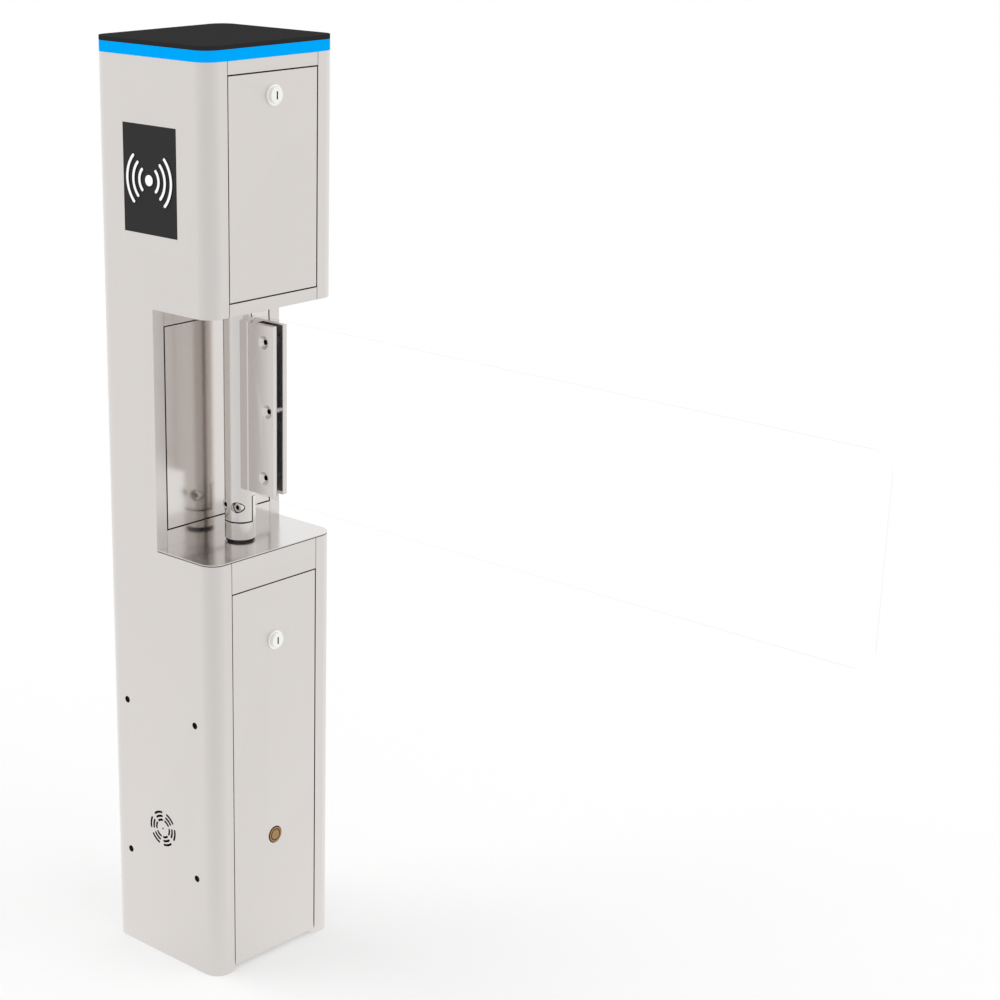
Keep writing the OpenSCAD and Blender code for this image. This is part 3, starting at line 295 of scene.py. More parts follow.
def metal(name, colour, roughness, grain=0.00001, stretch=(1400, 1400, 9), cloud=0.05, streak=0.03,
          painted_shade=None):
    """Brushed, turned or plated metal: streaks of grain, with slow clouds in its gloss.
    Its last argument gives 1 where shade is painted black into a slot, socket, groove or seam."""

    def shader(tree):
        lines, clouds = noise(tree, stretch, 3), noise(tree, (9, 9, 9))
        base = tree.mix(lines, scaled(colour, 1 - streak), scaled(colour, 1 + streak))
        gloss = (clouds - 0.5) * cloud + (lines - 0.5) * 0.06 + roughness
        # painted shade: where the mask gives 1, the colour is painted near black and the gloss made rougher
        if painted_shade:
            inside = painted_shade(tree)
            base = tree.mix(inside, base, (0.012, 0.012, 0.012))
            gloss = gloss + inside * 0.5
        return surface(tree, Base_Color=base, Metallic=1.0, Roughness=gloss,
                       Normal=raised(tree, lines, grain, 0.35))

    return new_finish(name, shader)


def satin(name="satin_steel", painted_shade=None):
    steel = look("steel")
    return metal(name, steel.satin, steel.satin_roughness, steel.grain, streak=0.02, painted_shade=painted_shade)


def polished(name="polished_steel", cloud=0.04, painted_shade=None):
    steel = look("steel")
    return metal(name, steel.polished, steel.polished_roughness, 0.000002, (30, 30, 30), cloud,
                 0.012, painted_shade)


def gap_steel(name, rim):
    """Polished steel of the back wall, with painted shade: black behind its face, and a thin painted shadow line
    along the cover's rim.
    """
    low, high = COVER

    def painted_shade(tree):
        x, y, z = axes_of(tree)
        # painted shade behind the cover's front face, and a painted shadow line a rim wide along its edges
        edge = (abs(y) > high.y - rim) | (z < low.z + rim)
        return (x < high.x - 0.15 * MM) | edge * (z > low.z - 2 * MM) * (rim > 0)

    return polished(name, 0.03, painted_shade)


def floor_steel(groove):
    """Polished floor plate, painted black as shade in the groove under its edge."""
    return metal("floor_steel", (0.690, 0.674, 0.658), look("steel").polished_roughness + 0.02,
                 0.000001, (30, 30, 30), 0.03, 0.01, lambda tree: axes_of(tree)[2] < groove)


def clamp_steel():
    """Satin steel of the clamp, a little finer than the casing's."""
    steel = look("steel")
    return metal("clamp_steel", scaled(steel.satin, 0.985), 0.22, steel.grain * 0.4, streak=0.015)


def turned_steel(grooves):
    """Satin steel turned on a lathe: its grain runs round the piece. Each groove is a box of
    low and high points, inside which shade is painted dark by a share."""

    def painted_shade(tree):
        found = 0
        for low, high, share in grooves:
            inside = share
            for axis, a, b in zip(axes_of(tree), low, high):
                inside = (axis > a) * (axis < b) * inside
            found = inside + found
        return found

    return metal("turned_steel", scaled(look("steel").satin, 0.99), 0.24, 0.0000006,
                 (30, 30, 1800), 0.05, 0.012, painted_shade)


def lock_nickel(which, middle, front):
    """Plated lock; its upright key slot is painted black inside as shade."""

    def painted_shade(tree):
        x, y, z = axes_of(tree)
        half, reach = (size + 0.02 * MM for size in KEY_SLOT)
        return (abs(y) < half) * (abs(z - middle) < reach) * (x > front)

    return metal("lock_nickel_" + which, (0.945, 0.945, 0.915), 0.26, 0.000001, (50, 50, 50), 0.03,
                 0.008, painted_shade)


def screw_steel(sockets):
    """Bright screws; sockets lists x, z, reach and both ends of each socket, painted black inside as shade."""

    def painted_shade(tree):
        x, y, z = axes_of(tree)
        found = 0
        for at_x, at_z, reach, front, back in sockets:
            far = ((x - at_x) * (x - at_x) + (z - at_z) * (z - at_z)).root()
            found = (far < reach) * (y > front) * (y < back) + found
        return found

    return metal("screw_steel", (0.71, 0.69, 0.67), 0.17, 0.000001, (300, 300, 300), 0.04, 0.015,
                 painted_shade)


def brass():
    """Turned brass; the sensor's ring groove and the gap round its head are painted dark as shade."""
    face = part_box("lane_sensor")[1].x

    def painted_shade(tree):
        x, y, z = axes_of(tree)
        up = z - middle_of("lane_sensor")
        far = (y * y + up * up).root()
        ring = (far > 5.85 * MM) * (far < 6.95 * MM) * (x > face - 1.5 * MM)
        return ring * 0.6 + (far > 8.6 * MM) * (far < 12 * MM) * (x > face - 6 * MM) * 0.5

    return metal("brass", (0.38, 0.245, 0.118), 0.30, 0.000002, (1500, 60, 60), 0.06, 0.04, painted_shade)


def plastic(name, colour, roughness, level=0.4, texture=0.00004, size=1500, mottle=0.05, index=1.5):
    """Moulded plastic with a fine texture."""

    def shader(tree):
        dots, clouds = noise(tree, (size, size, size)), noise(tree, (14, 14, 14))
        base = tree.mix(clouds, scaled(colour, 1 - mottle), scaled(colour, 1 + mottle))
        return surface(tree, Base_Color=base, Roughness=(clouds - 0.5) * 0.08 + roughness,
                       Specular_IOR_Level=level, IOR=index, Normal=raised(tree, dots, texture, 0.3))

    return new_finish(name, shader)


def symbol_white(tree):
    """White acrylic faces, lit a little from behind."""
    clouds = noise(tree, (40, 40, 40))
    return surface(tree, Base_Color=paint((0.93, 0.93, 0.93)), Roughness=clouds * 0.1 + 0.4,
                   Emission_Color=tree.mix(clouds, (0.95, 0.95, 0.95), (1, 1, 1)),
                   Emission_Strength=0.32)


def lit_lens(tree):
    """Frosted ring, a little brighter over each diode."""
    top = look("top")
    x, y, _ = axes_of(tree)
    waves = (x * (2 * math.pi / 0.014)).cosine() + (y * (2 * math.pi / 0.0151)).cosine()
    bright = tree.mix(waves * 0.25 + 0.5, scaled(top.lens, 0.96), top.lens)
    return surface(tree, Base_Color=paint(scaled(top.lens, 0.2)), Roughness=0.45,
                   Specular_IOR_Level=0.0, IOR=1.2, Emission_Color=bright,
                   Emission_Strength=top.glow)


def clear_acrylic(tree):
    """Clear sheet with a faint smear, which bends no light; its rim is darker."""
    tint, rim = look("wing").panel, 1.2 * MM
    low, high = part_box("wing_panel")
    smear = noise(tree, (5, 5, 5))
    x, _, z = axes_of(tree)
    edge = (z > high.z - rim) | (z < low.z + rim) | (x > high.x - rim)
    return surface(tree, Base_Color=tree.mix(edge, tint, scaled(tint, 0.88)),
                   Roughness=smear * 0.001, IOR=1.002, Transmission_Weight=1.0)


def clamp_pads(tree):
    """Rubber in front of the panel; behind it the pad's face mirrors the slot."""
    rear = axes_of(tree)[1] > 0
    dots = noise(tree, (900, 900, 900))
    return surface(tree, Base_Color=tree.mix(rear, (0.10, 0.098, 0.097), (0.66, 0.64, 0.63)),
                   Metallic=rear * 0.9, Roughness=(1 - rear) * (dots * 0.1 + 0.6) + 0.04)


def board_green(tree):
    """Circuit board: traces show faintly through the green lacquer."""
    traces = tree.node("ShaderNodeTexVoronoi", {"distance": "MANHATTAN"},
                       {"Vector": place(tree, (1, 260, 260)), "Scale": 1.0}, "Distance")
    base = tree.mix(traces > 0.42, (0.02, 0.13, 0.06), (0.035, 0.19, 0.09))
    return surface(tree, Base_Color=base, Roughness=0.3, Specular_IOR_Level=0.5)


# Shapes


def linked(name, data):
    made = bpy.data.objects.new(name, data)
    bpy.context.scene.collection.objects.link(made)
    return made


def drop(*objects):
    for obj in objects:
        mesh = obj.data
        bpy.data.objects.remove(obj)
        if mesh and not mesh.users:
            bpy.data.meshes.remove(mesh)


def kept(name, shape):
    """A bmesh made into an object at the origin."""
    mesh = bpy.data.meshes.new(name)
    shape.to_mesh(mesh)
    shape.free()
    return linked(name, mesh)


def closed(name, shape):
    """A bmesh merged, with its normals outward, and made into an object."""
    bmesh.ops.remove_doubles(shape, verts=shape.verts, dist=1e-7)
    bmesh.ops.recalc_face_normals(shape, faces=shape.faces)
    return kept(name, shape)


def worked_out(obj):
    """The mesh of an object after its modifiers."""
    bpy.context.view_layer.update()
    ready = obj.evaluated_get(bpy.context.evaluated_depsgraph_get())
    return bpy.data.meshes.new_from_object(ready)


def polar(radius, angle, middle=(0, 0)):
    """The point at an angle in degrees, a radius away from a middle."""
    a = math.radians(angle)
    return middle[0] + radius * math.cos(a), middle[1] + radius * math.sin(a)


def along(axis, a, b, at):
    """A point at (a, b) across an axis, at a distance along it."""
    return {"X": (at, a, b), "Y": (a, at, b), "Z": (a, b, at)}[axis]


def turned(profile, axis, centre, sides=None, name="tool"):
    """Turns a closed profile of (radius, distance along the axis) round an axis."""
    sides = sides or look("wing").turned_sides
    shape = bmesh.new()
    rings = [[shape.verts.new(Vector(along(axis, *polar(radius, 360 * k / sides), at))
                              + Vector(centre)) for k in range(sides)] for radius, at in profile]
    for a, b in zip(rings, rings[1:] + rings[:1]):
        for k in range(sides):
            shape.faces.new((a[k], a[(k + 1) % sides], b[(k + 1) % sides], b[k]))
    bmesh.ops.remove_doubles(shape, verts=shape.verts, dist=1e-7)
    bmesh.ops.dissolve_degenerate(shape, dist=1e-8, edges=shape.edges)
    return closed(name, shape)


def rod(axis, centre, radius, start, end, sides=64):
    """A plain rod, used to join or to cut."""
    return turned([(0, start), (radius, start), (radius, end), (0, end)], axis, centre, sides)


def slab(low, high):
    shape = bmesh.new()
    bmesh.ops.create_cube(shape, size=1)
    for v in shape.verts:
        v.co = Vector([low[i] if v.co[i] < 0 else high[i] for i in range(3)])
    return closed("tool", shape)


def prism(outlines, axis, start, end, name="tool"):
    """Flat outlines of (a, b) points made into bars along an axis."""
    shape = bmesh.new()
    for outline in outlines:
        near, far = ([shape.verts.new(along(axis, a, b, at)) for a, b in outline]
                     for at in (start, end))
        shape.faces.new(near)
        shape.faces.new(far)
        for k in range(len(outline)):
            j = (k + 1) % len(outline)
            shape.faces.new((near[k], near[j], far[j], far[k]))
    return closed(name, shape)


def gathered(objects, name="tool"):
    """Several shapes kept apart in one mesh."""
    shape = bmesh.new()
    for obj in objects:
        shape.from_mesh(obj.data)
    drop(*objects)
    return kept(name, shape)


def carved(name, start, joined=(), cuts=()):
    """Joins and cuts shapes, and clears away what they were made from."""
    for operation, tools in (("UNION", joined), ("DIFFERENCE", cuts)):
        for tool in tools:
            step = start.modifiers.new("step", "BOOLEAN")
            step.operation, step.solver, step.object = operation, "EXACT", tool
    mesh = worked_out(start)
    drop(start, *joined, *cuts)
    mesh.name = name
    return linked(name, mesh)


def rounded(inset=0.0):
    """The post's outline, drawn in by a distance, as (x, y) points."""
    radius, steps = look("steel").corner - inset, look("steel").corner_steps
    x, y = (CASING[1][i] - inset - radius for i in range(2))
    return [polar(radius, start + 90 * k / steps, (sx * x, sy * y))
            for start, sx, sy in ((0, 1, 1), (90, -1, 1), (180, -1, -1), (270, 1, -1))
            for k in range(steps + 1)]


def ring_of(outer, inner, start, end, name="tool"):
    """A ring between two insets of the post's outline."""
    return carved(name, prism([rounded(outer)], "Z", start, end),
                  cuts=[prism([rounded(inner)], "Z", start - MM, end + MM)])


def disc(radius, sides, middle=(0, 0)):
    return [polar(radius, 360 * k / sides, middle) for k in range(sides)]


def stroke(radius, width, start, end, steps):
    """A curved stroke with round ends, as (x, z) points."""
    angles = [start + (end - start) * k / steps for k in range(steps + 1)]

    def tip(at, turn):
        return [polar(width / 2, at + turn + 180 * k / 8, polar(radius, at)) for k in range(1, 8)]

    return ([polar(radius + width / 2, a) for a in angles] + tip(end, 0)
            + [polar(radius - width / 2, a) for a in angles[::-1]] + tip(start, 180))


def lifted(outlines, z):
    return [[(a, b + z) for a, b in outline] for outline in outlines]


def softened(mesh):
    """Shades a mesh smooth up to its sharp edges."""
    mesh.polygons.foreach_set("use_smooth", [True] * len(mesh.polygons))
    mesh.set_sharp_from_angle(angle=SHARP_ANGLE)


def smooth(obj):
    softened(obj.data)
    flats = obj.modifiers.new("flats", "WEIGHTED_NORMAL")
    flats.keep_sharp, flats.weight = True, 100
    return obj


def broken_edges(obj, edge, shortest=0.003, angle=30):
    """Breaks the sharp edges and shades the piece smooth, with its flats kept flat."""
    shape = bmesh.new()
    shape.from_mesh(obj.data)
    bmesh.ops.remove_doubles(shape, verts=shape.verts, dist=1e-6)
    bmesh.ops.dissolve_limit(shape, angle_limit=math.radians(0.4), verts=shape.verts,
                             edges=shape.edges)
    sharp = [e for e in shape.edges if len(e.link_faces) == 2
             and e.calc_face_angle(0) > math.radians(angle) and e.calc_length() > shortest]
    if edge and sharp:
        bmesh.ops.bevel(shape, geom=sharp, offset=edge, offset_type="OFFSET", segments=2,
                        profile=0.5, affect="EDGES", clamp_overlap=True)
    shape.to_mesh(obj.data)
    shape.free()
    return smooth(obj)


def finished(obj, material, node, own=False):
    """Gives a piece its finish and its body. It stands for its node, unless it is an addition
    of this script's own."""
    if material:
        obj.data.materials.clear()
        obj.data.materials.append(finish_of(material))
    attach(obj, BODY_OF[node])
    if not own:
        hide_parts(node)
    return obj


def dressed(nodes, material, edge=0.0002, shortest=0.003, cuts=()):
    """Copies of CAD nodes, merged, with broken edges, that stand for them; gives the last."""
    for node in nodes.split():
        name, mesh = node + "_dressed", frame["nodes"][node].data.copy()
        mesh.materials.clear()
        made = linked(name, mesh)
        shape = bmesh.new()
        shape.from_mesh(mesh)
        bmesh.ops.remove_doubles(shape, verts=shape.verts, dist=1e-6)
        bmesh.ops.recalc_face_normals(shape, faces=shape.faces)
        shape.to_mesh(mesh)
        shape.free()
        if cuts:
            made = carved(name, made, cuts=cuts)
        finished(broken_edges(made, edge, shortest), material, node)
    return made


# Repeated pieces


def shifted(tree, geometry, by, turn=ORIGIN):
    return tree.node("GeometryNodeTransform", None,
                     {"Geometry": geometry, "Translation": by, "Rotation": turn})


def grid_of(tree, put, turn=ORIGIN):
    """The points of a grid, Along by Across, at its place."""
    grid = tree.node("GeometryNodeMeshGrid", None, {
        "Size X": put["Length"], "Size Y": put["Width"],
        "Vertices X": put["Along"], "Vertices Y": put["Across"]})
    return shifted(tree, grid, put["Place"], turn)


def on_points(tree, points, piece):
    return tree.node("GeometryNodeInstanceOnPoints", None, {"Points": points, "Instance": piece})


def balls_in_rings(tree, put):
    """Balls set round an axis in two rings, as in a pair of bearings."""
    ring = tree.node("GeometryNodeMeshCircle", None,
                     {"Vertices": put["Count"], "Radius": put["Ring"]})
    ball = tree.node("GeometryNodeMeshUVSphere", None,
                     {"Segments": 24, "Rings": 14, "Radius": put["Ball"]})
    balls = on_points(tree, ring, ball)
    return tree.node("GeometryNodeJoinGeometry", None, {
        "Geometry": [shifted(tree, balls, put[level]) for level in ("Low", "High")][::-1]})


def rows_of_blocks(tree, put):
    """Rows of small blocks, such as diodes or pins, in a grid."""
    block = tree.node("GeometryNodeMeshCube", None, {"Size": put["Block"]})
    return on_points(tree, grid_of(tree, put, put["Turn"]), block)


def screw_thread(tree, put):
    """A screw thread: a ridge that climbs round an axis."""
    path = tree.node("GeometryNodeCurveSpiral", None, {
        "Resolution": 32, "Rotations": put["Turns"], "Start Radius": put["Radius"],
        "End Radius": put["Radius"], "Height": put["Length"]})
    ridge = tree.node("GeometryNodeCurvePrimitiveCircle", None,
                      {"Resolution": 4, "Radius": put["Ridge"]})
    solid = tree.node("GeometryNodeCurveToMesh", None,
                      {"Curve": path, "Profile Curve": ridge, "Fill Caps": True})
    return shifted(tree, solid, put["Place"], put["Turn"])


def cap_screws(tree, put):
    """Rows of cap screws with hollow heads."""
    size, rise = put["Head"], put["Rise"]
    ring = tree.node("GeometryNodeCurvePrimitiveCircle", None,
                     {"Resolution": 28, "Radius": size * 0.78})
    wall = tree.node("GeometryNodeCurvePrimitiveQuadrilateral", None,
                     {"Width": size * 0.44, "Height": rise})
    head = tree.node("GeometryNodeCurveToMesh", None, {"Curve": ring, "Profile Curve": wall})
    shank = tree.node("GeometryNodeMeshCylinder", None,
                      {"Vertices": 28, "Radius": size * 0.58, "Depth": rise * 0.5})
    head, shank = (shifted(tree, piece, tree.node("ShaderNodeCombineXYZ", None, {"Z": rise * up}))
                   for piece, up in ((head, 0.5), (shank, 0.25)))
    screw = tree.node("GeometryNodeJoinGeometry", None, {"Geometry": [head, shank]})
    return on_points(tree, grid_of(tree, put), screw)


# The inputs of each tree with their defaults, apart from Material, which each one has
REPEATS = {
    balls_in_rings: {"Count": 9, "Ring": 0.019, "Ball": 0.0039, "Low": ORIGIN, "High": ORIGIN},
    rows_of_blocks: {"Along": 9, "Across": 2, "Length": 0.1, "Width": 0.1,
                     "Block": (0.003, 0.003, 0.001), "Place": ORIGIN, "Turn": ORIGIN},
    screw_thread: {"Turns": 20.0, "Radius": 0.009, "Ridge": 0.0004, "Length": 0.03,
                   "Place": ORIGIN, "Turn": ORIGIN},
    cap_screws: {"Along": 2, "Across": 2, "Length": 0.04, "Width": 0.08, "Head": 0.005,
                 "Rise": 0.006, "Place": ORIGIN},
}
KINDS = {int: "NodeSocketInt", float: "NodeSocketFloat", tuple: "NodeSocketVector",
         type(None): "NodeSocketMaterial"}


def repeater(build):
    """The geometry tree with named inputs whose geometry is what build(tree, inputs) gives."""
    group = bpy.data.node_groups.new(build.__name__, "GeometryNodeTree")
    tree = Tree(group)
    inputs = {**REPEATS[build], "Material": None}
    for label, default in inputs.items():
        socket = group.interface.new_socket(label, in_out="INPUT", socket_type=KINDS[type(default)])
        if default is not None:
            socket.default_value = default
    group.interface.new_socket("Geometry", in_out="OUTPUT", socket_type="NodeSocketGeometry")
    entry = group.nodes.new("NodeGroupInput")
    put = {label: Sum(tree, entry.outputs[label]) for label in inputs}
    real = tree.node("GeometryNodeRealizeInstances", None, {"Geometry": build(tree, put)})
    done = tree.node("GeometryNodeSetMaterial", None,
                     {"Geometry": real, "Material": put["Material"]})
    tree.node("NodeGroupOutput", None, {"Geometry": done})
    return group


def grown(name, build, values, material, node, own=True):
    """Runs a geometry tree with the given values and keeps its result as a plain mesh."""
    group = bpy.data.node_groups.get(build.__name__) or repeater(build)
    values = {**values, "Material": finish_of(material)}
    carrier = linked(name, bpy.data.meshes.new(name))
    step = carrier.modifiers.new("repeat", "NODES")
    step.node_group = group
    for item in group.interface.items_tree:
        if item.in_out == "INPUT" and item.name in values:
            step[item.identifier] = values[item.name]
    mesh, old = worked_out(carrier), carrier.data
    carrier.modifiers.clear()
    carrier.data, mesh.name = mesh, name
    bpy.data.meshes.remove(old)
    if not len(mesh.polygons):
        raise RuntimeError(f"{name} came out empty")
    softened(mesh)
    return finished(carrier, None, node, own)


# Operators, one for each piece or group of like pieces


class TURNSTILE_OT_casing(Operator):
    """Folds the casing with smooth corners, and dresses the rails between its flanges"""

    bl_idname = "turnstile.casing"
    bl_label = "Casing and rails"

    def execute(self, context):
        edge, corner = look("steel").edge, look("steel").corner
        side, deep, top = CASING[1]
        seat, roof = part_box("recess_floor")[0].z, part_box("recess_ceiling")[0].z
        back, fold = COVER[1].x, COVER[1].y + 1.3 * MM
        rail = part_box("header_rail")[1].y
        gap, flange = rail + 0.3 * MM, 12 * MM
        shell = carved("shell", prism([rounded()], "Z", 0, top), cuts=[
            prism([rounded(SHEET)], "Z", -MM, top + MM),
            slab((side - corner, -gap, -MM), (FAR, gap, top + MM))])
        returns = gathered([slab((side - flange, min(y, y + s * SHEET), 0),
                                 (side - SHEET / 2, max(y, y + s * SHEET), top))
                            for s, y in ((1, gap), (-1, -gap))])
        opened = carved("opened", shell, joined=[returns],
                        cuts=[slab((back, -FAR, seat), (FAR, FAR, roof))])
        folds = gathered([slab((back - SHEET, fold, seat), (back, deep, roof)),
                          slab((back - SHEET, -deep, seat), (back, -fold, roof))])
        ledges = []
        wall, inside, leg, thick = deep - SHEET / 2, deep - SHEET, 14 * MM, 2 * MM
        ledge_ends = -46 * MM, -10 * MM
        for z in (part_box(node)[0].z for node in ("motor_plate", "bearing_plate", "top_plate")):
            angle = [(inside - leg, z), (inside - leg, z - thick), (inside - thick, z - thick),
                     (inside - thick, z - leg), (wall, z - leg), (wall, z)]
            ledges.append(prism([angle, [(-y, h) for y, h in angle]], "X", *ledge_ends))

        inner = -deep + 2 * SHEET  # past the reader face's inner side
        lap, eye_in, eye_radius, pin_in, pin_radius = (
            size * MM for size in (4.85, 6, 3.8, 4, 2.05))
        low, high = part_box("reader_window")
        cuts = [slab((low.x + lap, -FAR, low.z + lap), (high.x - lap, inner, high.z - lap)),
                prism(speaker_slots(), "Y", -FAR, inner)]
        low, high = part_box("ir_sensors")
        for x in (low.x + eye_in, high.x - eye_in):
            for z in (low.z + eye_in, high.z - eye_in):
                cuts.append(rod("Y", (x, 0, z), eye_radius, -FAR, inner, 32))
        for z in (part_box(door)[0].z + pin_in for door in ("upper_door", "lower_door")):
            for s in (-1, 1):
                ends = sorted((s * (gap - MM), s * (gap + SHEET + MM)))
                cuts.append(rod("Y", (side - pin_in, 0, z), pin_radius, *ends, 24))
        made = carved("casing_folded", opened, joined=[folds, gathered(ledges)],
                      cuts=[gathered(cuts)])
        finished(broken_edges(made, edge, 0.004), satin(), "casing")
        # the last 0.35 mm of each rail's face is painted black as shade, widening the seam's shadow line
        seam = rail - 0.35 * MM
        dressed("header_rail sill_rail lower_rail",
                satin("rail_satin", lambda tree: abs(axes_of(tree)[1]) > seam), edge, 0.004)
        return {"FINISHED"}


def speaker_slots():
    """Six groups of three curved slots round a small hole, as outlines on the reader face."""
    slots = [stroke(radius * MM, 2.6 * MM, 35 + 60 * k, 70 + 60 * k, 16)
             for k in range(6) for radius in (10.2, 14.7, 19.3)]
    return lifted([disc(1.1 * MM, 24), *slots], middle_of("speaker"))


class TURNSTILE_OT_doors(Operator):
    """Dresses both doors and their hinge pins"""

    bl_idname = "turnstile.doors"
    bl_label = "Doors"

    def execute(self, context):
        dressed("upper_door lower_door", satin(), look("steel").edge * 1.6, 0.004)
        dressed("hinge_pins", "zinc_plated", 0.0001)
        dressed("lock_keeper", "zinc_plated")
        return {"FINISHED"}


class TURNSTILE_OT_recess(Operator):
    """Makes the polished floor with its shadow groove, and dresses the rest of the recess"""

    bl_idname = "turnstile.recess"
    bl_label = "Recess"

    def execute(self, context):
        low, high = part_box("recess_floor")
        back, half = COVER[1].x, COVER[1].y + MM
        groove, groove_deep, tab, hole = low.z + 0.9 * MM, 1.2 * MM, 3 * MM, 15.3 * MM
        made = carved("recess_floor_plate", prism([rounded()], "Z", groove, high.z),
                      joined=[prism([rounded(groove_deep)], "Z", low.z, groove)],
                      cuts=[slab((back - FAR, -FAR, low.z - MM), (back, FAR, high.z + MM))])
        made = carved("recess_floor_plate", made,
                      joined=[slab((back - tab, -half, low.z), (back + MM, half, high.z))],
                      cuts=[rod("Z", (PIVOT.x, 0, 0), hole, low.z - MM, high.z + MM, 96)])
        finished(broken_edges(made, 0.2 * MM), floor_steel(groove + 0.01 * MM), "recess_floor")
        dressed("recess_rails", gap_steel("wall_rails", 0), 0.0001)
        dressed("recess_cover", gap_steel("wall_cover", 0.35 * MM), 0.0001)
        dressed("recess_ceiling", polished())
        dressed("cover_nuts", "zinc_plated")
        return {"FINISHED"}


class TURNSTILE_OT_crown(Operator):
    """Makes the cap, the lit ring, its row of diodes and the plate under them"""

    bl_idname = "turnstile.crown"
    bl_label = "Cap and light ring"

    def execute(self, context):
        top, plate, board_thick = look("top"), 4.4 * MM, 1.6 * MM
        lens_in, seat, rim_in, board_in = (inset * MM for inset in (10, 10.3, 12.3, 16.3))
        low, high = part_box("top_cap")
        under = high.z - plate
        cap = carved("top_cap_plate", prism([rounded()], "Z", under, high.z),
                     joined=[ring_of(seat, rim_in, low.z, under + 0.2 * MM)])
        finished(broken_edges(cap, top.cap_edge),
                 plastic("cap_black", top.cap, 0.5, 0.0, 0.000002, 300, 0.02, 1.01), "top_cap")
        low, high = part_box("light_ring")
        ring = ring_of(0, lens_in, low.z, high.z, "light_ring_lens")
        finished(broken_edges(ring, 0.2 * MM), lit_lens, "light_ring")
        board = ring_of(seat, board_in, low.z, low.z + board_thick, "led_board")
        finished(broken_edges(board, 0.1 * MM), "board_white", "led_ring")
        width, depth, inset = 2 * high.x, 2 * high.y, seat + board_in
        diode_z = low.z + board_thick + 0.6 * MM
        for name, along_x, along_y, length, across in (
                ("diodes_sides", top.leds_x, 2, width * 2 / 3, depth - inset),
                ("diodes_ends", 2, top.leds_y, width - inset, depth * 2 / 3)):
            grown(name, rows_of_blocks, {
                "Along": along_x, "Across": along_y, "Length": length, "Width": across,
                "Block": (3 * MM, 3 * MM, 1.2 * MM), "Place": (0, 0, diode_z)},
                "diode_yellow", "led_ring")
        dressed("top_plate", "zinc_plated")
        return {"FINISHED"}


class TURNSTILE_OT_reader(Operator):
    """Makes the reader window with its raised wave symbol, and dresses its module"""

    bl_idname = "turnstile.reader"
    bl_label = "Reader"

    def execute(self, context):
        low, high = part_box("reader_window")
        face, rim = -CASING[1].y, 5 * MM
        window = carved("reader_window_plate", slab((low.x + rim, face, low.z + rim),
                                                    (high.x - rim, high.y, high.z - rim)),
                        joined=[slab((low.x, face + SHEET, low.z), high)])
        finished(broken_edges(window, 0.2 * MM),
                 plastic("window_black", scaled(look("top").cap, 1.3), 0.4, 0.3, 0.000002, 300,
                         0.02, 1.12), "reader_window")
        arcs = [stroke(radius * MM, 3 * MM, start, start + 90, 32)
                for radius in (14.3, 23.4, 32.5) for start in (-45, 135)]
        waves = lifted([disc(5.5 * MM, 48), *arcs], middle_of("reader_window"))
        risers = prism(waves, "Y", face - MM, face, "symbol_risers")
        finished(broken_edges(risers, 0), "riser_black", "reader_window", own=True)
        symbol = prism(waves, "Y", face - 1.4 * MM, face - MM, "symbol_faces")
        finished(broken_edges(symbol, 0), symbol_white, "reader_symbol")
        dressed("reader_module", "matte_black", 0.0004)
        return {"FINISHED"}


class TURNSTILE_OT_locks(Operator):
    """Turns the collars, bodies and key faces of both locks"""

    bl_idname = "turnstile.locks"
    bl_label = "Locks"

    def execute(self, context):
        side = CASING[1].x
        cam, cam_thick, round_off = side - 15 * MM, 2 * MM, 0.8 * MM
        bore, barrel, body, neck, face, collar, stud, square = (
            r * MM for r in (5.55, 5.5, 7.6, 8, 8.3, 10.7, 5, 3.5))
        slot_half, slot_reach, slot_deep = *KEY_SLOT, 2.5 * MM
        for which in ("upper", "lower"):
            lock = which + "_lock_"
            low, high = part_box(lock + "shell")
            tail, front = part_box(lock + "plug")
            z, seat = middle_of(lock + "shell"), high.x + 0.1 * MM
            middle, finish = (0, 0, z), lock_nickel(which, z, high.x + 0.7 * MM)
            shell = turned([
                (bore, low.x), (body, low.x), (body, side - 5 * MM), (neck, side - 5 * MM),
                (neck, side), (collar, side), (collar, high.x - 0.7 * MM),
                (collar - 0.25 * MM, high.x - 0.2 * MM), (collar - 0.7 * MM, high.x),
                (bore, high.x)], "X", middle, name=lock + "collar")
            finished(smooth(shell), finish, lock + "shell")
            grown(lock + "thread", screw_thread, {
                "Turns": 7.0, "Radius": 7.7 * MM, "Ridge": 0.3 * MM, "Length": 6.4 * MM,
                "Place": (low.x + 0.3 * MM, 0, z), "Turn": TO_X},
                "zinc_plated", lock + "shell")
            edge = [polar(round_off, 15 * k, (face - round_off, front.x - round_off))
                    for k in range(7)]
            plug = carved(lock + "face", turned([
                (0, cam), (barrel, cam), (barrel, seat), (face, seat), *edge, (0, front.x)],
                "X", middle),
                joined=[slab((cam - cam_thick, -square, z - square),
                             (cam + 0.1 * MM, square, z + square)),
                        rod("X", middle, stud, tail.x, cam - cam_thick)],
                cuts=[slab((front.x - slot_deep, -slot_half, z - slot_reach),
                           (front.x + MM, slot_half, z + slot_reach))])
            finished(smooth(plug), finish, lock + "plug")
            dressed(f"{lock}cam {lock}nut", "zinc_plated", 0.0003, 0.001)
        return {"FINISHED"}


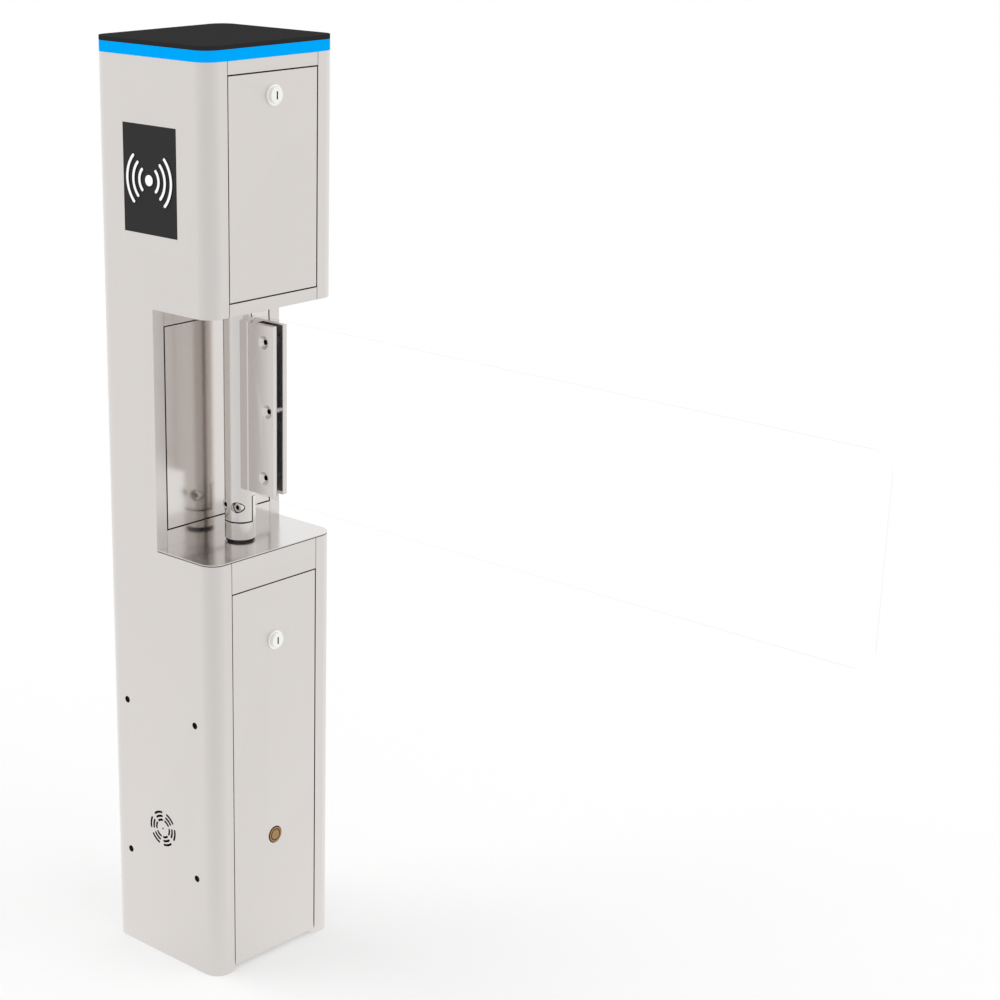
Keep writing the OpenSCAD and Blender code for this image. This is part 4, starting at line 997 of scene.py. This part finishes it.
class TURNSTILE_OT_sensors(Operator):
    """Dresses the speaker, the infrared sensors and the lane sensor"""

    bl_idname = "turnstile.sensors"
    bl_label = "Sensors and speaker"

    def execute(self, context):
        dressed("ir_sensors", "sight_black", 0.0003, 0.0005)
        low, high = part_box("speaker")
        across = high.x - low.x
        speaker = turned([(r * across, low.y + h * across) for r, h in (
            (0, 0.105), (0.06, 0.112), (0.09, 0.13), (0.12, 0.152), (0.14, 0.16), (0.28, 0.098),
            (0.43, 0.026), (0.44, 0.006), (0.447, 0), (0.5, 0), (0.5, 0.044), (0.465, 0.044),
            (0.3, 0.228), (0.28, 0.228), (0.28, 0.4), (0, 0.4))], "Y",
            (0, 0, middle_of("speaker")), name="speaker_cone")
        finished(smooth(speaker), "sight_black", "speaker")

        low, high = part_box("lane_sensor")
        z = middle_of("lane_sensor")
        sensor = turned([(r * MM, high.x - d * MM) for r, d in (
            (0, 0), (5.6, 0), (5.8, 0.2), (5.8, 0.8), (7.0, 0.8), (7.0, 0.2), (7.2, 0), (8.5, 0),
            (9.0, 0.5), (9.0, 3.5), (8.6, 3.9), (8.6, 60), (6.5, 60), (6.5, 67.6), (6.1, 68),
            (0, 68))], "X", (0, 0, z), name="lane_sensor_body")
        finished(smooth(sensor), brass(), "lane_sensor")
        grown("lane_sensor_thread", screw_thread, {
            "Turns": 55.0, "Radius": 8.65 * MM, "Ridge": 0.33 * MM, "Length": 55 * MM,
            "Place": (low.x + 8.5 * MM, 0, z), "Turn": TO_X},
            brass(), "lane_sensor")
        dressed("lane_sensor_nuts", brass(), 0.0003)
        dressed("sensor_strap", "zinc_plated", 0.0003)
        return {"FINISHED"}


class TURNSTILE_OT_pivot(Operator):
    """Turns the wing's post and the couplings of both shafts"""

    bl_idname = "turnstile.pivot"
    bl_label = "Pivot"

    def execute(self, context):
        low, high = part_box("pivot_post")
        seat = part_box("recess_floor")
        x, radius, far = PIVOT.x, (high.x - low.x) / 2, 30 * MM
        left, right, split = x - far, x + far, 3.1 * MM
        seam, lap_gap, hair = 1.6 * MM, 0.5 * MM, 0.01 * MM  # hair keeps the painted shade off the faces
        collar, roof, foot = low.z - MM, high.z + lap_gap, low.z + 0.3 * MM
        tongue, upper_tongue = collar + 28.4 * MM, roof - 13 * MM
        lap, upper_lap = collar + 17.6 * MM, roof - 6.8 * MM
        neck = seat[1].z + 2.6 * MM
        # painted shade, as dark boxes: the neck in the floor's hole, the gap under the foot, the tongues' seams
        # and the split
        shade_boxes = [
            ((left, -far, low.z - far), (right, far, neck - hair), 0.85),
            ((left, -far, collar - 2 * hair), (right, split, foot + 0.35 * MM), 1),
            ((left, split, tongue - hair), (right, far, tongue + lap_gap + hair), 1),
            ((left, split, upper_tongue - lap_gap - hair), (right, far, upper_tongue + hair), 1)]
        for s in (-1, 1):
            a, b = sorted((x + s * 12.9 * MM, x + s * far))
            for z0, z1 in ((collar, tongue + lap_gap - hair),
                           (upper_tongue - lap_gap + hair, roof)):
                shade_boxes.append(((a, split - seam + 2 * hair, z0), (b, split + 2 * hair, z1), 1))
        steel = turned_steel(shade_boxes)

        grooves, bores, holes, screw_out = [], [], [], 9 * MM
        for s in (-1, 1):
            a, b = sorted((x + s * 13 * MM, x + s * far))
            for z0, z1 in ((low.z - far, tongue + lap_gap), (upper_tongue - lap_gap, high.z + far)):
                grooves.append(slab((a, split - seam, z0), (b, far, z1)))
            for z, thread in ((lap, 3 * MM), (upper_lap, 2.5 * MM)):
                at = (x + s * screw_out, 0, z)
                bores.append(rod("Y", at, 2 * thread, -far, -5 * MM))
                holes.append(rod("Y", at, thread, -far, far, 32))
        post = carved("pivot_post_bar", rod("Z", (x, 0, 0), radius, foot, high.z, 128), cuts=[
            slab((left, split, low.z - far), (right, far, tongue + lap_gap)),
            slab((left, split, upper_tongue - lap_gap), (right, far, high.z + far)),
            gathered(grooves), gathered(bores), gathered(holes)])
        finished(broken_edges(post, 0.35 * MM, 0.0003, 40), steel, "pivot_post")

        def shaft(node, profile, z0, z1, lap, thread, deep):
            """A shaft with its half tongue from z0 to z1, tapped for two screws."""
            half = carved("tool", rod("Z", (x, 0, 0), radius, z0, z1, 128),
                          cuts=[slab((left, -far, z0 - MM), (right, split, z1 + MM))])
            made = carved(node + "_bar",
                          turned([(r * MM, z) for r, z in profile], "Z", (x, 0, 0), 128),
                          joined=[half], cuts=[gathered([
                              rod("Y", (x + s * screw_out, 0, lap), thread, 0, split + deep, 32)
                              for s in (-1, 1)])])
            finished(broken_edges(made, 0.3 * MM, 0.0003, 40), steel, node)

        tail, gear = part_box("drive_shaft")[0].z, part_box("drive_gear")[0].z - 2 * MM
        shoulder = seat[0].z - 13.4 * MM
        shaft("drive_shaft", [
            (0, tail), (9.5, tail), (10, tail + 0.5 * MM), (10, gear), (12, gear),
            (12, shoulder - 15 * MM), (12.5, shoulder - 15 * MM), (12.5, shoulder),
            (13.5, shoulder), (13.5, neck), (16.2, neck), (16.5, neck + 0.3 * MM),
            (16.5, collar - 0.3 * MM), (16.2, collar), (0, collar)],
            collar - MM, tongue, lap, 3 * MM, 11 * MM)
        end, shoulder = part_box("upper_shaft")[1].z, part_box("recess_ceiling")[1].z + 3.8 * MM
        shaft("upper_shaft", [
            (0, roof), (16.2, roof), (16.5, roof + 0.3 * MM), (16.5, shoulder), (12.5, shoulder),
            (12.5, shoulder + 17 * MM), (10, shoulder + 17 * MM), (10, end - 0.5 * MM), (9.5, end),
            (0, end)], upper_tongue, roof + MM, upper_lap, 2.5 * MM, 10 * MM)
        return {"FINISHED"}


class TURNSTILE_OT_clamp(Operator):
    """Dresses the clamp, its pads and its screws"""

    bl_idname = "turnstile.clamp"
    bl_label = "Clamp"

    def execute(self, context):
        low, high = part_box("clamp_bracket")
        face, middle = low.y, middle_of("clamp_bracket")
        places = [(PIVOT.x + out * MM, 0, middle + up * MM)
                  for out, up in ((47.6, -72), (52.6, 0), (47.6, 72))]
        root, chamfer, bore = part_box("front_jaw")[0].x - 0.3 * MM, 1.1 * MM, 7.05 * MM
        corner = prism([[(root - chamfer, face), (root + MM, face - MM),
                         (root + MM, face + 2 * MM), (root, face + chamfer)]],
                       "Z", low.z - MM, high.z + MM)
        dressed("clamp_bracket", clamp_steel(), 0.0003, 0.004, cuts=[corner])
        dressed("front_jaw", clamp_steel(), 0.0003, 0.004, cuts=[
            rod("Y", at, bore, face - MM, face + 4 * MM) for at in places])
        dressed("clamp_pads", clamp_pads)

        # sockets: where the screws' hex sockets are painted black inside as shade
        screws, sockets = [], []
        dish = [(r * MM, face + y * MM) for r, y in (
            (0, 3.2), (3.4, 3.2), (6.4, -0.4), (6.8, -0.5), (7, -0.3), (7, 4), (4, 4))]
        for at in places:
            screws.append(socket_screw(dish, at, 4 * MM, -face, 5.6 * MM, face + 3.2 * MM, 2 * MM))
            sockets.append((at[0], at[2], 3.3 * MM, face + 3.22 * MM, face + 5.3 * MM))
        low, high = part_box("pivot_post")
        for z, d, tip in ((low.z + 16.6 * MM, 6, 12.1), (high.z - 6.3 * MM, 5, 11.1)):
            front, reach = -6.4 - d, 0.88 * d
            head = [(r * MM, y * MM) for r, y in (
                (0, front), (reach - 0.4, front), (reach, front + 0.4), (reach, -5), (d / 2, -5))]
            for at in ((PIVOT.x + s * 9 * MM, 0, z) for s in (-1, 1)):
                screws.append(socket_screw(head, at, d / 2 * MM, tip * MM, 0.83 * d * MM,
                                           front * MM, d / 2 * MM))
                sockets.append((at[0], at[2], 0.49 * d * MM, (front + 0.1) * MM,
                                (-6.2 - d / 2) * MM))
        made = gathered(screws, "wing_screws_turned")
        finished(smooth(made), screw_steel(sockets), "wing_screws")
        return {"FINISHED"}


def socket_screw(head, at, shank, tip, across, front, depth):
    """A screw along +Y: its head's profile, its shank up to tip, and a hexagon socket."""
    profile = [*head, (shank, tip - 0.6 * MM), (shank - 0.6 * MM, tip), (0, tip)]
    socket = disc(across / math.sqrt(3), 6, (at[0], at[2]))
    return carved("tool", turned(profile, "Y", at, 64),
                  cuts=[prism([socket], "Y", front - MM, front + depth)])


class TURNSTILE_OT_panel(Operator):
    """Makes the clear panel with its polished edges"""

    bl_idname = "turnstile.panel"
    bl_label = "Clear panel"

    def execute(self, context):
        made = dressed("wing_panel", clear_acrylic, look("wing").panel_edge)
        for corner in made.data.vertices:  # thinner, so that no face lies in a pad's face
            corner.co.y *= 0.985
        made.visible_shadow = False
        return {"FINISHED"}


class TURNSTILE_OT_drive(Operator):
    """Dresses the plates, bearings, gears, motor and stops of the drive"""

    bl_idname = "turnstile.drive"
    bl_label = "Drive"

    def execute(self, context):
        for nodes, material, edge in (
                ("bearing_plate motor_plate bearing_housings", "machined_aluminium", 0.0005),
                ("base_plate plate_spacers stop_arm stop_posts", "zinc_plated", 0.0005),
                ("bearing_outer_rings bearing_inner_rings", "ground_steel", 0.0004),
                ("shaft_bush", brass(), 0.0004), ("drive_gear motor_pinion", "gear_steel", 0.0002),
                ("gearmotor", "motor_grey", 0.0006), ("stop_buffers", "rubber", 0.0005),
                ("position_disc disc_sensors", "matte_black", 0.0003)):
            dressed(nodes, material, edge)
        for name, z in (("lower_housing_screws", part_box("bearing_housings")[0].z),
                        ("upper_housing_screws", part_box("recess_ceiling")[1].z)):
            grown(name, cap_screws, {
                "Along": 2, "Across": 2, "Length": 40 * MM, "Width": 80 * MM, "Head": 10 * MM,
                "Rise": 6 * MM, "Place": (PIVOT.x, 0, z + 6 * MM)},
                "zinc_plated", "bearing_housings")
        low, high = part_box("bearing_balls")
        ball = 0.0039
        grown("bearing_balls_round", balls_in_rings, {
            "Count": 9, "Ring": 0.01925, "Ball": ball, "Low": (PIVOT.x, 0, low.z + ball),
            "High": (PIVOT.x, 0, high.z - ball)}, "ground_steel", "bearing_balls", own=False)
        return {"FINISHED"}


class TURNSTILE_OT_electronics(Operator):
    """Dresses the control board and the power supply"""

    bl_idname = "turnstile.electronics"
    bl_label = "Electronics"

    def execute(self, context):
        corner = Vector((-CASING[1].x + 9.5 * MM, -25.5 * MM,
                         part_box("recess_ceiling")[0].z + 40 * MM))
        width, height, relay = 98 * MM, 134 * MM, 15.4 * MM
        front = corner.x + 1.6 * MM

        def at(y, z):
            """The place at shares y and z of the board."""
            return corner.y + y * width, corner.z + z * height

        def part(y, z, w, h, rise):
            return slab((front, *at(y, z)), (front + rise, *at(y + w, z + h)))

        def mounted(name, objects, edge, material, shortest=0.003):
            made = broken_edges(gathered(objects, name), edge, shortest)
            finished(made, material, "control_board", own=True)

        board = slab(corner, (front, *at(1, 1)))
        finished(broken_edges(board, 0.2 * MM), board_green, "control_board")
        mounted("board_posts", [
            rod("X", (0, *at(y, z)), 3.5 * MM, corner.x - 8 * MM, corner.x, 32)
            for y in (0.06, 0.94) for z in (0.05, 0.95)], 0.3 * MM, brass(), 0.0005)
        mounted("board_relays", [part(0.04, 0.74, 0.56, 0.11, relay * 0.8), *[
            part(0.1 + 0.205 * k, 0.12, 0.165, 0.15, relay) for k in range(4)]],
            0.6 * MM, "part_blue")
        mounted("board_blocks", [part(0.4, 0.4, 0.24, 0.18, relay / 5),
                                 part(0.78, 0.35, 0.16, 0.31, relay * 1.3)],
                0.4 * MM, "part_black")
        can = [(r * MM, front + h) for r, h in (
            (0, 0), (5.2, 0), (5.2, MM), (5.88, 2 * MM), (5.88, relay - 0.6 * MM), (5.3, relay),
            (0, relay))]
        cans = gathered([turned(can, "X", (0, *at(0.12, 0.37 + 0.125 * k)), 48)
                         for k in range(3)], "board_cans")
        finished(smooth(cans), "folded_aluminium", "control_board", own=True)
        grown("board_pins", rows_of_blocks, {
            "Along": 14, "Across": 2, "Length": 22 * MM, "Width": 25.4 * MM,
            "Block": (0.6 * MM, 1.8 * MM, 0.5 * MM), "Place": (front + 0.4 * MM, *at(0.52, 0.49)),
            "Turn": (math.pi / 2, 0, math.pi / 2)}, "zinc_plated", "control_board")

        dressed("power_supply", "folded_aluminium", 0.0003)
        low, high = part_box("power_supply")
        grown("terminal_screws", cap_screws, {
            "Along": 2, "Across": 7, "Length": 4 * MM, "Width": 78 * MM, "Head": 3 * MM,
            "Rise": 0.9 * MM, "Place": (high.x - 8 * MM, 0, low.z + 16 * MM)},
            "zinc_plated", "power_supply")
        return {"FINISHED"}


class TURNSTILE_OT_stage(Operator):
    """Sets up the pale floor, the lamps, the world and the camera"""

    bl_idname = "turnstile.stage"
    bl_label = "Stage"

    def execute(self, context):
        scene, studio = context.scene, look("studio")
        scene.view_settings.view_transform = "Standard"

        shape = bmesh.new()
        bmesh.ops.create_grid(shape, x_segments=1, y_segments=1, size=60)
        ground = kept("floor", shape)
        ground.data.materials.append(finish_of(floor))

        for name, azimuth, height, share in (("key", -150, 48, 0.6), ("fill", 20, 55, 0.4)):
            lamp = bpy.data.lights.new(name, "SUN")
            lamp.angle = math.radians(50)
            lamp.energy = math.pi * studio.lamps * share / math.sin(math.radians(height))
            stand = linked(name, lamp)
            stand.rotation_euler = (math.radians(90 - height), 0, math.radians(azimuth + 90))
            stand.visible_glossy = False

        world = bpy.data.worlds.new("studio")
        world.use_nodes = True
        scene.world = world
        tree = Tree(world.node_tree)
        seen = seen_directly(tree)
        graded = studio_grade(tree, tree.node("ShaderNodeTexCoord", out="Generated"))
        back = tree.node("ShaderNodeBackground", None, {
            "Color": (1, 1, 1, 1), "Strength": seen * graded + (1 - seen) * studio.world})
        tree.node("ShaderNodeOutputWorld", None, {"Surface": back})

        lens = bpy.data.cameras.new("camera")
        lens.sensor_width, lens.lens, lens.clip_end = 36, CAMERA_LENS, 100
        lens.shift_x, lens.shift_y = CAMERA_SHIFT
        eye = linked("camera", lens)
        eye.location, eye.rotation_euler = CAMERA_PLACE, CAMERA_TURN
        scene.camera = eye
        return {"FINISHED"}


def light_path(tree, name):
    return tree.node("ShaderNodeLightPath", out=name)


def seen_directly(tree):
    """1 for rays from the camera, from mirrors and through glass, else 0."""
    return (light_path(tree, "Is Camera Ray") | light_path(tree, "Is Glossy Ray")
            | light_path(tree, "Is Transmission Ray"))


def studio_grade(tree, direction):
    """How bright the studio is for mirrors in each direction; 1 for the camera itself."""

    def vector(operation, a, b=ORIGIN, out=0):
        return tree.node("ShaderNodeVectorMath", {"operation": operation}, {0: a, 1: b}, out)

    level = vector("NORMALIZE", vector("MULTIPLY", direction, (1, 1, 0)))
    side = vector("DOT_PRODUCT", level, (-0.08, 0.08, 0), "Value")
    return 1 + light_path(tree, "Is Glossy Ray") * (side - 0.028)


def floor(tree):
    """Pale floor that keeps shadows and shows as white to the camera and to mirrors. Mirrors
    see a painted pool of light on it near the post."""
    studio = look("studio")
    plain = 1 - light_path(tree, "Is Glossy Ray")
    matt = tree.node("ShaderNodeBsdfDiffuse", None, {"Color": plain * studio.floor})
    where = tree.node("ShaderNodeTexCoord", out="Object")
    reach = tree.node("ShaderNodeVectorMath", {"operation": "LENGTH"}, {0: where}, "Value")
    # painted light: a pool of light near the post, seen only in mirrors
    near = 0.08 / (reach * reach * 4 + 1) * (1 - plain)
    level = (studio_grade(tree, where) + near
             - plain * (studio.floor * (studio.world + studio.lamps)))
    lit = tree.node("ShaderNodeEmission", None, {
        "Color": (1, 1, 1, 1), "Strength": seen_directly(tree) * level})
    return tree.node("ShaderNodeAddShader", None, {0: matt, 1: lit})


OPERATORS = (
    TURNSTILE_OT_stage, TURNSTILE_OT_casing, TURNSTILE_OT_doors, TURNSTILE_OT_recess,
    TURNSTILE_OT_crown, TURNSTILE_OT_reader, TURNSTILE_OT_locks, TURNSTILE_OT_sensors,
    TURNSTILE_OT_pivot, TURNSTILE_OT_clamp, TURNSTILE_OT_panel, TURNSTILE_OT_drive,
    TURNSTILE_OT_electronics)
LOOKS = {"steel": SteelLook, "top": TopLook, "wing": WingLook, "studio": StudioLook}


class TURNSTILE_PT_sidebar(Panel):
    """Lists the steps that dress the turnstile"""

    bl_idname = "TURNSTILE_PT_sidebar"
    bl_label = "Swing turnstile"
    bl_space_type = "VIEW_3D"
    bl_region_type = "UI"
    bl_category = "Turnstile"

    def draw(self, context):
        for operator in OPERATORS:
            self.layout.operator(operator.bl_idname)
        for group in LOOKS:
            box = self.layout.box()
            for name in look(group).__annotations__:
                box.prop(look(group), name)


CLASSES = (*LOOKS.values(), *OPERATORS, TURNSTILE_PT_sidebar)


def register():
    for cls in CLASSES:
        bpy.utils.register_class(cls)
    for group, cls in LOOKS.items():
        setattr(bpy.types.Scene, "turnstile_" + group, PointerProperty(type=cls))


def unregister():
    for group in LOOKS:
        delattr(bpy.types.Scene, "turnstile_" + group)
    for cls in reversed(CLASSES):
        bpy.utils.unregister_class(cls)


def main():
    register()
    for operator in OPERATORS:
        getattr(bpy.ops.turnstile, operator.bl_idname.split(".")[1])()


if __name__ == "__main__":
    main()
